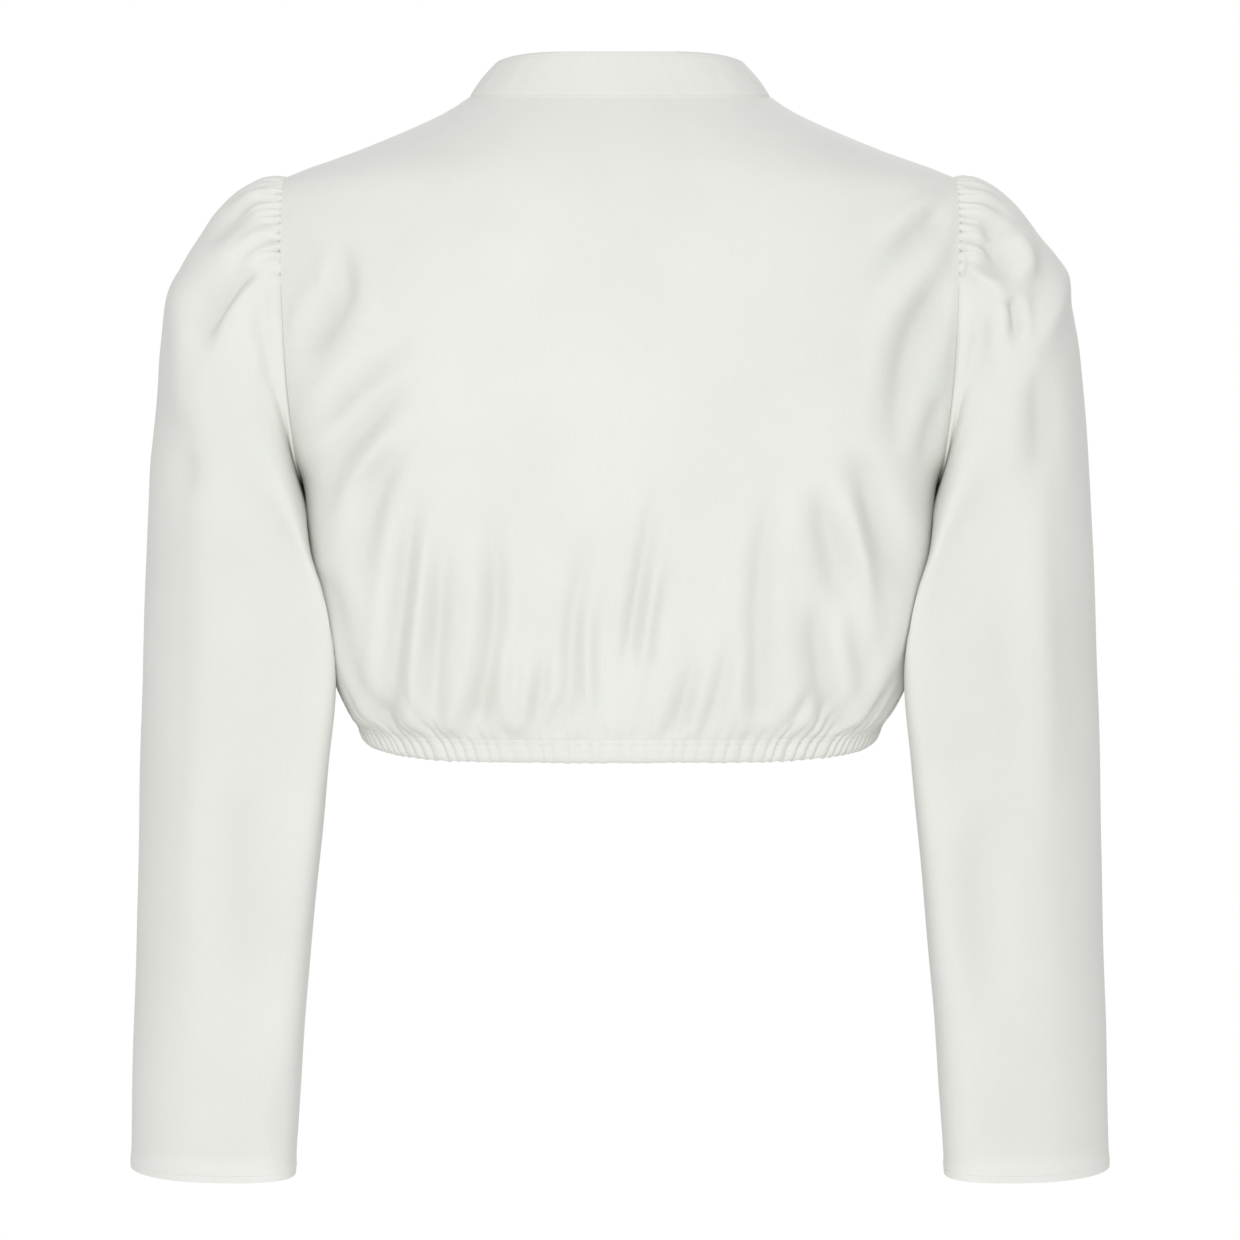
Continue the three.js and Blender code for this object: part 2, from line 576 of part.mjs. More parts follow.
function sleeveSolid(side) {
  const startAngle = -CAP_GATHER_SPAN / 2;
  const plainAngles = spread(startAngle, startAngle + 2 * Math.PI, SLEEVE_STEPS).slice(0, -1);
  const finePlaces = [0, 0.9, 2.1];
  const plainPlaces = spread(3.2, LAST_SLEEVE_RING, SLEEVE_ROWS);
  const fineRows = finePlaces.map((place) => ({ along: place, across: capAngles() }));
  const plainRows = plainPlaces.map((place) => ({ along: place, across: plainAngles }));
  const wallAt = (angle, place) => {
    const base = sleevePoint(angle, place);
    const inPlace = Math.min(Math.max(place, 0.02), LAST_SLEEVE_RING - 0.02);
    const normal = outward(sleevePoint, angle, inPlace, 0.01, 0.02, -1);
    const seen = seenAt(base);
    const nearSide = smoothStep(Math.abs(base.y) / 20);
    const fromSeam = smoothStep(place / 1.5);
    const folds = foldLift(SLEEVE_FOLDS, seen.x, seen.z) * nearSide * fromSeam;
    const lift = folds + capGather(angle, place);
    return {
      outer: mirrored(base.clone().addScaledVector(normal, lift), side),
      inner: mirrored(base.clone().addScaledVector(normal, lift - WALL), side),
    };
  };
  return clothSolid([...fineRows, ...plainRows], wallAt, true);
}

function mirrored(point, side) {
  point.x *= side;
  return point;
}

// The button band lies on both fronts, along the centre line from the neck to the hem.
function bandSolid() {
  const across = spread(-BAND_WIDTH / 2, BAND_WIDTH / 2, 4);
  const bottom = HEM_EDGE + 1;
  const top = NECK_POINT - 6;
  const rows = spread(bottom, top, 20).map((height) => ({ along: height, across }));
  const wallAt = (x, height) => {
    const outer = bandPoint(x, height, BAND_LIFT + WALL);
    return { outer, inner: bandPoint(x, height, BAND_LIFT) };
  };
  return clothSolid(rows, wallAt, false);
}

// A point on the band, from the body's own surface at the centre front, moved out.
function bandPoint(x, height, lift) {
  const surface = (turn, along) => bodyPoint(-1, turn, along);
  const halfWidth = bodyRing(-1, height).half;
  const turn = QUARTER - Math.asin(x / halfWidth);
  const normal = outward(surface, turn, height, 0.01, 0.5, -1);
  return surface(turn, height).addScaledVector(normal, lift);
}

function buttonMesh(number) {
  const firstHeight = NECK_POINT - BUTTON_BELOW_NECK;
  const lastHeight = HEM_SEAM + BUTTON_ABOVE_HEM;
  const share = (number - 1) / (BUTTON_COUNT - 1);
  const height = firstHeight + (lastHeight - firstHeight) * share;
  const low = bandPoint(0, height, BAND_LIFT + WALL + SEAM_GAP);
  const high = bandPoint(0, height, BAND_LIFT + WALL + SEAM_GAP + 1);
  const profile = [
    new THREE.Vector2(0, 0),
    new THREE.Vector2(BUTTON_RADIUS - 0.6, 0),
    new THREE.Vector2(BUTTON_RADIUS, BUTTON_HEIGHT / 2),
    new THREE.Vector2(BUTTON_RADIUS - 0.5, BUTTON_HEIGHT),
    new THREE.Vector2(BUTTON_RADIUS - 1.8, BUTTON_HEIGHT),
    new THREE.Vector2(BUTTON_RADIUS - 2.6, BUTTON_HEIGHT - 0.7),
    new THREE.Vector2(0, BUTTON_HEIGHT - 0.7),
  ];
  const mesh = new THREE.Mesh(
    new THREE.LatheGeometry(profile, 12),
    new THREE.MeshStandardMaterial({ color: BUTTON_COLOUR, roughness: 0.35, metalness: 0 }),
  );
  mesh.name = `button_${number}`;
  mesh.position.copy(low);
  mesh.quaternion.setFromUnitVectors(new THREE.Vector3(0, 1, 0), high.sub(low).normalize());
  return mesh;
}

function clothMesh(name, geometry) {
  const material = new THREE.MeshStandardMaterial({
    color: COLOUR,
    roughness: 0.85,
    metalness: 0,
  });
  const mesh = new THREE.Mesh(geometry, material);
  mesh.name = name;
  return mesh;
}

const blouse = new THREE.Group();
blouse.add(clothMesh('back_panel', backPanel()));
blouse.add(clothMesh('front_left', frontPanel(1)));
blouse.add(clothMesh('front_right', frontPanel(-1)));
blouse.add(clothMesh('collar', collarSolid()));
blouse.add(clothMesh('sleeve_left', sleeveSolid(1)));
blouse.add(clothMesh('sleeve_right', sleeveSolid(-1)));
blouse.add(clothMesh('hem_casing', hemCasing()));
blouse.add(clothMesh('button_band', bandSolid()));
for (let number = 1; number <= BUTTON_COUNT; number += 1) {
  blouse.add(buttonMesh(number));
}

export default blouse;
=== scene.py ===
# A dirndl blouse seen from behind, filled out as worn: fine cloth over the fixed frame.
import math
from functools import partial

import bpy
import numpy as np
from mathutils import Matrix, Vector


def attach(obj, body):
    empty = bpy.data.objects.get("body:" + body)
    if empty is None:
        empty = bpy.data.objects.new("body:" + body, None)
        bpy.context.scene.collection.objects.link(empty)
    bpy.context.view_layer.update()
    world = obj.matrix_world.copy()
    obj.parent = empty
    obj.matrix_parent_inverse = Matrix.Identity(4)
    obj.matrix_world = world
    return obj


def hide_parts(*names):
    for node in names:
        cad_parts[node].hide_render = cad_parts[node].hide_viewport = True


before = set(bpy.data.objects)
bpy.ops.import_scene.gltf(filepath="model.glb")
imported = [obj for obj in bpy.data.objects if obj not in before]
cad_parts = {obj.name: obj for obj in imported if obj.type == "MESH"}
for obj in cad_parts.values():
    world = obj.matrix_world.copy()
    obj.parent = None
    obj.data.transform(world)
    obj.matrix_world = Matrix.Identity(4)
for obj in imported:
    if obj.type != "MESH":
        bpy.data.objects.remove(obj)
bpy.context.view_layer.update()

MM = 0.001
QUARTER = math.pi / 2

# Heights of the main lines, in millimetres from the neck points.
NECK_POINT = 0.0
SHOULDER_TIP = -46.7
UNDERARM = -220.6
HEM_SEAM = -363.6
HEM_EDGE = -376.4
HEM_RISE_AT_SIDE = 8.0
HEM_RISES_OVER = 60.0
SEAM_GAP = 0.3

# Cloth: the shell's thickness where the cloth is single and where it is doubled.
CLOTH = 0.7
DOUBLED_CLOTH = 1.3

# Neck: half width, reach back and forward, and how far the cloth drops from its points.
NECK_HALF = 86.0
NECK_BACK = 55.0
NECK_FRONT = 62.0
BACK_NECK_DROP = 8.0
FRONT_NECK_DROP = 62.0
NECK_DROP_ENDS = -170.0

# Above the shoulder tip a part of the armhole's cut is carried on, so that the neck's drop begins
# softly: its turn, the depth from which it is full, how softly it meets the cut, the height where
# it comes in, and over how much height it comes and goes.
CARRIED_TURN = 0.36
CARRIED_FULL_AT = 60.0
CARRIED_SOFTNESS = 0.04
CARRIED_FROM, CARRIED_COMES_OVER, CARRIED_GOES_OVER = -80.0, 20.0, 10.0

# Collar: a row of stitches lies at a share of its height.
COLLAR_BACK_HEIGHT = 28.0
COLLAR_SIDE_HEIGHT = 21.5
COLLAR_FRONT_HEIGHT = 22.0
COLLAR_LEAN = 17.0
COLLAR_OPEN_HALF = 1.2
COLLAR_BOW = 1.2
COLLAR_FRONT_UPRIGHT = 0.05
COLLAR_ROWS, COLLAR_COLUMNS = 21, 420
COLLAR_STITCHES = (("collar_edge_stitches", 0.9), ("collar_foot_stitches", 0.07))

# Band and buttons; a button's profile is radius and rise.
BAND_WIDTH = 24.0
BAND_LIFT = 0.6
BAND_LIFT_AT_HEM = 2.2
BAND_EDGE_STITCH = 2.5
BAND_RIPPLE = 0.25
BAND_ROWS, BAND_COLUMNS = 161, 25
BUTTON_COUNT = 5
BUTTON_BELOW_NECK = 16
BUTTON_ABOVE_HEM = 12
BUTTON_OFF_BAND = 0.3
BUTTON_STEPS = 48
BUTTON_PROFILE = [
    (4.9, 0.0), (5.3, 0.35), (5.5, 1.2), (5.35, 2.1), (4.9, 2.4),
    (4.3, 2.3), (3.7, 1.8), (3.0, 1.55), (1.5, 1.5), (0.3, 1.5),
]

# Stitches: first place, distance, length, radius, and cross-sections along one: place, width, rise.
STITCH_START = 0.3
STITCH_PITCH = 2.8
STITCH_LENGTH = 2.0
STITCH_RADIUS = 0.16
STITCH_SIDES = 6
STITCH_SHAPE = (
    (0.0, 0.35, -0.35), (0.2, 1.0, 0.25), (0.5, 1.0, 0.45), (0.8, 1.0, 0.25), (1.0, 0.35, -0.35),
)

# Panels: rows below, beside and above the armhole, half the gap between the fronts as a turn of a
# body about 100 mm deep there, and how far the panels step in under the casing.
BACK_ROWS, BACK_COLUMNS = (44, 44, 10), 448
FRONT_ROWS, FRONT_COLUMNS = (44, 38, 10), 248
FRONT_GAP_TURN = SEAM_GAP / 2 / 100
UNDER_CASING_STEP = 1.4

# Armholes and gathers. A place on the casing is a share of its height.
ARMHOLE_TOP_X = 190.0
ARMHOLE_UNDERARM_X = 179.0
ARMHOLE_CURVE = 2.2
HEM_GATHERS = 124
CASING_ROWS, CASING_COLUMNS = 14, HEM_GATHERS * 8
CASING_STITCH = 0.78
CAP_GATHERS = 33
CAP_GATHER_SPAN = math.radians(146)

# Sleeves: how they turn and lean, and where and how far the body presses them. Places are counted
# in rings.
SLEEVE_TURN = 0.3
SLEEVE_BACK_LEAN = 0.11
SLEEVE_FRONT_LEAN = 0.09
PRESSED_LEAN = 0.18
PRESSED_RING = 9.3
PRESSED_SPAN = 1.6
SLEEVE_REST = 1.0
SLEEVE_TURN_IN = 8.0
SLEEVE_ROWS, CAP_COLUMNS, COLUMNS_BELOW_CAP = 152, CAP_GATHERS * 7, 72
CUFF_BACK_DROP = 4.5
CUFF_STITCH = 0.16
CUFF_HEM = 7.0
CUFF_HEM_LIFT = 0.35
CUFF_HEM_EXTRA = 0.4
CUFF_COLUMNS = 361

# How far apart, as turn and height, or as angle and ring, a normal's points are taken.
PANEL_STEPS = 0.004, 0.4
BAND_STEPS = 0.01, 0.5
SLEEVE_STEPS = 0.006, 0.01

# Folds: how full they are, how deep a trough is where its painted shade is darkest, and the low
# shoulders on both sides: their size, how far out they lie and how wide they are, in half widths of
# the fold.
FOLD_FULLNESS = 1.45
DEEP = 7.0
FOLD_SHOULDER, FOLD_SHOULDER_AT, FOLD_SHOULDER_WIDTH = 0.28, 2.1, 0.9
FOLD_PIECES = 14

# The camera stands behind the blouse; folds are placed as they are seen from there.
SEEN_FROM = 2200.0
SEEN_HEIGHT = -298.0
PHOTO_PIXELS = 1240
MM_PER_PIXEL = 0.57
SENSOR = 36.0

# Lights: name, place in metres, size and power. The world lights the cloth less than it shows.
LIGHTS = (
    ("key", (0.2, 3.2, 0.5), 2.0, 45.0),
    ("front_fill", (-0.5, -3.2, 1.3), 2.4, 54.0),
)
WORLD_FILL = 0.63
WORLD_SEEN = 1.0
FLOOR_RADIUS = 4.0
FLOOR_HEIGHT = -1.42

# Tones of the cloth: its darker and lighter patches, doubled layers, and the painted shade that
# darkens the troughs of folds and gathers.
PATCH_TONES = ((0.3, (0.745, 0.755, 0.715)), (0.7, (0.79, 0.80, 0.76)))
DOUBLED_TONE = (0.84, 0.85, 0.815)
# Painted shade: the colour that troughs of folds and gathers are darkened to, in place of shade.
TROUGH_PAINTED_SHADE_TONE = (0.70, 0.71, 0.665)

# Half sizes of the body: height, side, back, front and squareness.
BODY_RINGS = np.array([
    (-384.0, 142, 88, 98, 2.25),
    (-366.6, 148, 90, 101, 2.25),
    (-354.0, 154, 93, 106, 2.9),
    (-333.0, 162.5, 96, 112, 3.4),
    (-305.0, 170, 98, 118, 3.8),
    (-278.0, 174.5, 100, 123, 3.9),
    (-250.0, 176.5, 102, 126, 3.8),
    (-220.6, 179, 103.5, 126, 3.45),
    (-206.0, 185.5, 104, 124.5, 3.4),
    (-190.0, 191.5, 104, 122, 3.1),
    (-165.0, 200, 103.5, 117.5, 2.75),
    (-130.0, 208.5, 101, 110, 2.32),
    (-100.0, 212.5, 96.5, 102.5, 2.2),
    (-80.0, 212.5, 92, 97.5, 2.15),
    (-66.0, 209, 88, 93, 2.1),
    (-56.0, 203, 84.8, 89.5, 2.08),
    (-46.7, 190, 81.5, 86, 2.05),
    (-32.5, 151.6, 75.5, 80, 2.0),
    (-18.8, 119, 68, 73.5, 2.0),
    (-9.0, 99, 61.5, 67.5, 2.0),
    (0.0, 86, 55, 62, 2.0),
])
HALF, BACK, FRONT, SQUARE = 1, 2, 3, 4

# The sleeve's rings: outer x and z, inner x and z, reach back and forward, and how far ahead.
SLEEVE_RINGS = np.array([
    (190.0, -46.7, 179.0, -220.6, 52, 57, 0),
    (204.0, -47.6, 180.2, -222.0, 57, 61, 1),
    (217.0, -54.0, 179.8, -225.0, 61, 64, 3),
    (229.0, -65.0, 178.9, -229.8, 64, 65, 3),
    (240.0, -78.5, 177.8, -236.0, 66, 65, 4),
    (249.5, -95.0, 177.2, -243.5, 67, 65, 3),
    (257.6, -114.0, 176.8, -252.5, 67, 65, 1),
    (262.4, -138.0, 176.2, -263.5, 66, 64, 0),
    (265.6, -172.0, 174.4, -278.0, 64, 62, 0),
    (268.2, -212.0, 171.4, -298.0, 62, 61, 0),
    (270.8, -258.0, 167.2, -322.0, 60, 59, 1),
    (273.3, -312.0, 164.2, -348.0, 57, 57, 3),
    (275.5, -374.0, 167.0, -386.0, 54, 54, 6),
    (277.5, -441.0, 172.6, -446.0, 50, 50, 9),
    (279.3, -511.0, 178.6, -512.0, 45, 45, 11),
    (280.7, -571.0, 182.2, -570.5, 40.5, 40.5, 11),
    (281.5, -611.0, 184.2, -610.0, 37.5, 37.5, 11),
])
OUTER_X, OUTER_Z, INNER_X, INNER_Z, REACH_BACK, REACH_FRONT, AHEAD = range(7)
SLEEVE_OUTER_SQUARE = 2.15
SLEEVE_INNER_SQUARE = 6.5
CUFF_INNER_SQUARE = 2.9
LAST_RING = len(SLEEVE_RINGS) - 1

# Folds: start, middle and end as x and z, half width, depth (troughs below 0), and how much of the
# line fades at its start and at its end. Two more numbers, where given, widen its two sides.
BACK_FOLDS = [
    (159, -82, 159, -100, 163, -112, 5.5, -2.4, 0.5, 0.3),
    (160, -104, 171, -124, 184, -148, 6.0, -3.2, 0.4, 0.3),
    (150, -88, 160, -122, 179, -148, 6.5, -3.2, 0.5, 0.3),
    (117, -140, 147, -161, 177, -192, 6.5, -3.6, 0.6, 0.3),
    (115, -160, 142, -181, 172, -217, 7.0, -3.8, 0.6, 0.3),
    (124, -196, 140, -228, 154, -300, 8.0, -3.6, 0.7, 0.6),
    (124, -186, 141, -206, 164, -242, 5.5, 2.2, 0.4, 0.4),
    (117, -216, 123, -272, 135, -367, 6.2, -3.4, 0.6, 0.0),
    (109, -232, 114, -280, 121, -350, 5.5, 1.6, 0.4, 0.3),
    (100, -246, 104, -300, 107, -366, 5.2, -2.6, 0.6, 0.0),
    (86, -246, 86, -296, 94, -362, 7.5, 1.6, 0.5, 0.2),
    (78, -230, 71, -290, 85, -367, 5.8, -3.4, 0.6, 0.0),
    (15, -244, 25, -292, 31, -364, 5.0, -2.2, 0.6, 0.1),
    (18, -278, 19, -312, 15, -354, 4.6, 2.2, 0.5, 0.3),
    (41, -312, 45, -338, 49, -367, 4.6, -1.8, 0.6, 0.0),
    (51, -320, 53, -340, 56, -364, 4.4, 1.3, 0.5, 0.2),
    (60, -302, 60, -322, 62, -344, 4.2, -1.2, 0.5, 0.5),
    (34, -340, 37, -352, 41, -367, 3.8, -1.5, 0.5, 0.0),
    (171, -266, 165, -286, 155, -318, 6.5, -1.6, 0.4, 0.5),
    (-23, -212, -13, -266, -2, -336, 4.6, -2.4, 0.6, 0.3),
    (-23, -260, -17, -292, -12, -336, 4.4, 2.2, 0.5, 0.3),
    (-44, -312, -38, -342, -32, -366, 4.6, -2.2, 0.6, 0.0),
    (-65, -300, -60, -328, -49, -367, 4.8, -2.2, 0.6, 0.0),
    (-90, -218, -80, -276, -80, -362, 6.4, -3.2, 0.6, 0.1),
    (-115, -218, -119, -250, -129, -298, 8.0, -4.0, 0.5, 0.4),
    (-111, -282, -114, -318, -121, -366, 7.5, -4.2, 0.5, 0.0),
    (-128, -292, -135, -314, -142, -342, 6.0, -1.8, 0.5, 0.5),
    (-127, -222, -137, -262, -146, -310, 5.0, 2.2, 0.4, 0.5),
    (-132, -196, -146, -236, -164, -286, 8.5, -4.0, 0.5, 0.4),
    (-110, -336, -102, -352, -94, -368, 4.0, -2.4, 0.5, 0.0),
    (-187, -64, -168, -80, -144, -100, 6.0, -3.2, 0.3, 0.6),
    (-186, -54, -166, -65, -142, -80, 5.0, 1.6, 0.3, 0.5),
    (-187, -84, -168, -106, -136, -142, 7.0, 2.0, 0.3, 0.5),
    (-190, -110, -166, -142, -158, -214, 8.5, -4.0, 0.25, 0.5),
    (-184, -168, -178, -190, -172, -216, 6.0, -2.2, 0.3, 0.4),
]

# The fronts, with +X on the panel's own side.
FRONT_FOLDS = [
    (170, -84, 158, -108, 138, -134, 7.5, -3.2, 0.3, 0.5),
    (178, -132, 160, -156, 132, -178, 7.5, -3.4, 0.3, 0.5),
    (172, -178, 154, -200, 124, -218, 7.0, -3.0, 0.3, 0.5),
    (142, -256, 140, -310, 133, -368, 6.5, -3.4, 0.4, 0.0),
    (118, -236, 114, -300, 108, -368, 6.5, -3.4, 0.4, 0.0),
    (103, -276, 100, -320, 96, -366, 5.0, 2.0, 0.4, 0.0),
    (91, -262, 88, -310, 83, -368, 5.5, -3.0, 0.4, 0.0),
    (66, -244, 63, -300, 58, -368, 6.5, -3.4, 0.4, 0.0),
    (48, -290, 48, -326, 47, -366, 5.0, 1.8, 0.5, 0.0),
    (36, -270, 36, -320, 36, -368, 5.5, -2.8, 0.4, 0.0),
]

# Sleeve heads as seen from behind, left and right; the hidden fronts repeat the other side's.
SLEEVE_LEFT_FOLDS = [
    (207, -98, 223, -112, 238, -138, 6.0, -3.4, 0.3, 0.35, 0.55, 1.9),
    (197, -106, 220, -131, 238, -154, 6.0, 1.6, 0.3, 0.5),
    (207, -58, 226, -72, 241, -92, 6.0, -2.2, 0.4, 0.4),
    (200, -52, 222, -62, 240, -80, 4.5, 1.3, 0.4, 0.4),
    (247, -98, 250, -124, 240, -148, 6.5, 1.8, 0.4, 0.4),
    (254, -110, 250, -155, 245, -196, 9.0, 2.4, 0.4, 0.4),
    (196, -128, 200, -152, 202, -184, 6.5, -1.2, 0.4, 0.5),
    (245, -198, 247, -214, 251, -232, 8.0, -1.4, 0.4, 0.5),
    (216, -380, 223, -440, 217, -520, 12.0, -1.3, 0.4, 0.4),
    (188, -560, 193, -585, 189, -606, 9.0, -1.2, 0.5, 0.3),
]
SLEEVE_RIGHT_FOLDS = [
    (216, -75, 230, -88, 233, -106, 5.5, 3.4, 0.35, 0.35),
    (206, -66, 214, -86, 212, -104, 7.0, -3.6, 0.4, 0.4),
    (239, -74, 251, -106, 232, -152, 6.0, 3.0, 0.3, 0.35),
    (224, -112, 226, -126, 224, -142, 3.5, -3.2, 0.3, 0.5),
    (194, -96, 208, -104, 222, -114, 5.0, 2.6, 0.2, 0.4),
    (200, -118, 206, -140, 204, -172, 7.0, -2.8, 0.4, 0.5),
    (236, -150, 240, -184, 236, -230, 7.5, -2.6, 0.4, 0.5),
    (238, -230, 242, -330, 248, -420, 10.0, 1.6, 0.4, 0.5),
    (212, -400, 205, -460, 211, -540, 11.0, -1.6, 0.4, 0.4),
]


def smooth_step(share):
    """From 0 to 1 as a share goes from 0 to 1, level at both ends."""
    held = np.clip(share, 0.0, 1.0)
    return held * held * (3 - 2 * held)


def read_body(column, height):
    """A column of BODY_RINGS at each height, with slopes averaged between rows."""
    heights = BODY_RINGS[:, 0]
    values = BODY_RINGS[:, column]
    slopes = np.diff(values) / np.diff(heights)
    at_rows = np.concatenate([slopes[:1], (slopes[1:] + slopes[:-1]) / 2, slopes[-1:]])
    row = np.clip(np.searchsorted(heights, height, side="right") - 1, 0, len(heights) - 2)
    step = heights[row + 1] - heights[row]
    share = np.clip((height - heights[row]) / step, 0.0, 1.0)
    square = share * share
    cube = square * share
    low = values[row] * (2 * cube - 3 * square + 1)
    low = low + at_rows[row] * step * (cube - 2 * square + share)
    high = values[row + 1] * (3 * square - 2 * cube) + at_rows[row + 1] * step * (cube - square)
    return low + high


def read_sleeve(column, place):
    """A column of SLEEVE_RINGS at each place, counted in rings."""
    values = SLEEVE_RINGS[:, column]
    row = np.clip(np.floor(place).astype(int), 0, LAST_RING - 1)
    share = np.clip(place - row, 0.0, 1.0)
    before = values[np.maximum(row - 1, 0)]
    low = values[row]
    high = values[row + 1]
    after = values[np.minimum(row + 2, LAST_RING)]
    square = share * share
    cube = square * share
    return 0.5 * (2 * low + (high - before) * share
                  + (2 * before - 5 * low + 4 * high - after) * square
                  + (3 * low - 3 * high + after - before) * cube)


def armhole_x(height):
    """How far out the armhole's cut lies at a height."""
    share = np.clip((height - UNDERARM) / (SHOULDER_TIP - UNDERARM), 0.0, 1.0)
    curved = 1 - (1 - share) ** ARMHOLE_CURVE
    return ARMHOLE_UNDERARM_X + (ARMHOLE_TOP_X - ARMHOLE_UNDERARM_X) * curved


def body_ring(facing, height):
    """Half sizes at a height, and the turn and reach at which the armhole cuts the cloth."""
    half = read_body(HALF, height)
    depth = read_body(BACK if facing > 0 else FRONT, height)
    square = read_body(SQUARE, height)
    beside = (height > UNDERARM) & (height < SHOULDER_TIP)
    filled = np.minimum(armhole_x(height) / half, 1.0) ** square
    edge = np.where(beside, np.arctan(((1 - filled) / filled) ** (1 / square)), 0.0)
    reach = np.where(beside, depth * (1 - filled) ** (1 / square), 0.0)
    return half, depth, square, edge, reach


def superellipse(turn, square):
    """A point of a rounded outline: square 2 is a circle, more is squarer."""
    cos = np.cos(turn)
    sin = np.sin(turn)
    scale = (np.abs(cos) ** square + np.abs(sin) ** square) ** (-1 / square)
    return cos * scale, sin * scale


def carried_edge(edge, height):
    """The turn at which the armhole cuts the cloth, carried on above the shoulder tip."""
    short = CARRIED_TURN * np.clip(-height / CARRIED_FULL_AT, 0.0, 1.0) - edge
    near_tip = smooth_step((height - CARRIED_FROM) / CARRIED_COMES_OVER)
    near_tip = near_tip * smooth_step(-height / CARRIED_GOES_OVER)
    return edge + (short + np.sqrt(short ** 2 + CARRIED_SOFTNESS ** 2)) / 2 * near_tip


def body_point(facing, turn, height):
    """A point of the body: turn 0 at the +X side, a quarter turn at the middle, half at -X."""
    half, depth, square, edge, _ = body_ring(facing, height)
    across, out = superellipse(turn, square)
    edge = carried_edge(edge, height)
    from_edge = np.minimum(turn, math.pi - turn) - edge
    share = np.clip(from_edge / (QUARTER - edge), 0.0, 1.0)
    inward = share + edge / QUARTER * (1 - share - (1 - share) ** 4)
    neck_share = np.maximum((height - NECK_DROP_ENDS) / (NECK_POINT - NECK_DROP_ENDS), 0.0)
    drop = BACK_NECK_DROP if facing > 0 else FRONT_NECK_DROP
    hem_share = smooth_step(1 - (height - HEM_EDGE) / HEM_RISES_OVER)
    rise = HEM_RISE_AT_SIDE * np.abs(np.cos(turn)) ** 6 * hem_share
    z = height + rise - drop * np.sin(inward * QUARTER) * neck_share
    return np.stack([half * across, facing * (depth * out + SEAM_GAP / 2), z], axis=-1)


def round_point(angle, height):
    """The whole way round the body: the back from 0 to half a turn, then the front."""
    held = np.mod(angle, 2 * math.pi)
    on_back = held <= math.pi
    back = body_point(1, np.where(on_back, held, 0.5), height)
    front = body_point(-1, np.where(on_back, 0.5, 2 * math.pi - held), height)
    return np.where(on_back[..., None], back, front)


def sleeve_point(angle, place):
    """A point of the sleeve on +X: angle 0 at the outer side, a quarter turn at the back.

    Near the head it follows the armhole; what shapes it further down comes in ring by ring.
    """
    outer_x, outer_z, inner_x, inner_z = (read_sleeve(c, place) for c in range(4))
    sin = np.sin(angle)
    cos = np.cos(angle)
    near_body = smooth_step(0.5 - cos)
    toward_cuff = smooth_step((place - 11) / 4)
    pressed_flat = SLEEVE_INNER_SQUARE + (CUFF_INNER_SQUARE - SLEEVE_INNER_SQUARE) * toward_cuff
    flatness = (pressed_flat - SLEEVE_OUTER_SQUARE) * near_body * smooth_step(place / 9)
    flatness = SLEEVE_OUTER_SQUARE + flatness
    square = 2 + (flatness - 2) * smooth_step(place / 3)
    along, out = superellipse(angle, square)
    on_back = sin > 0
    reach = np.where(on_back, read_sleeve(REACH_BACK, place), read_sleeve(REACH_FRONT, place))
    cuff_share = smooth_step((place - LAST_RING + 3) / 3)
    across = (outer_x - inner_x) / 2 * along
    pressed = PRESSED_LEAN * np.exp(-((place - PRESSED_RING) / PRESSED_SPAN) ** 2)
    lean = np.where(on_back, SLEEVE_BACK_LEAN + pressed, SLEEVE_FRONT_LEAN)
    x = (outer_x + inner_x) / 2 + across - lean * reach * out * near_body * smooth_step(place / 7)
    y = reach * out - read_sleeve(AHEAD, place) - SLEEVE_TURN * across * smooth_step(place / 7)
    z = (outer_z + inner_z) / 2 + (outer_z - inner_z) / 2 * along
    z = z - CUFF_BACK_DROP * sin * cuff_share
    seam_z = UNDERARM + (SHOULDER_TIP - UNDERARM) * (1 + cos) / 2
    straight_x = ARMHOLE_UNDERARM_X + (ARMHOLE_TOP_X - ARMHOLE_UNDERARM_X) * (1 + cos) / 2
    fade = 1 - smooth_step(place / 3)
    seam_reach = np.where(on_back, body_ring(1, seam_z)[4], -body_ring(-1, seam_z)[4])
    ring_reach = np.where(on_back, SLEEVE_RINGS[0, REACH_BACK], SLEEVE_RINGS[0, REACH_FRONT]) * sin
    x = x + (armhole_x(seam_z) - straight_x) * fade
    y = y + (seam_reach - ring_reach) * fade
    return np.stack([x, y, z], axis=-1)


def unit(vectors):
    return vectors / np.linalg.norm(vectors, axis=-1, keepdims=True)


def level_normals(points):
    """Level unit normals of a ring of cloth that is wider than it is deep."""
    return unit(points * np.array([0.5, 1.0, 0.0]))


def lifted(points, normals, lift):
    """Points moved along their normals."""
    return points + normals * np.asarray(lift)[..., None]


def outward(surface, across, along, steps, sign):
    """Unit normals of a surface, from its own points on either side."""
    across_step, along_step = steps
    over = surface(across + across_step, along) - surface(across - across_step, along)
    up = surface(across, along + along_step) - surface(across, along - along_step)
    return unit(np.cross(over, up) * sign)


def seen_at(points):
    """Where points are seen from straight behind or before the blouse."""
    scale = SEEN_FROM / (SEEN_FROM - np.abs(points[..., 1]))
    return points[..., 0] * scale, SEEN_HEIGHT + (points[..., 2] - SEEN_HEIGHT) * scale


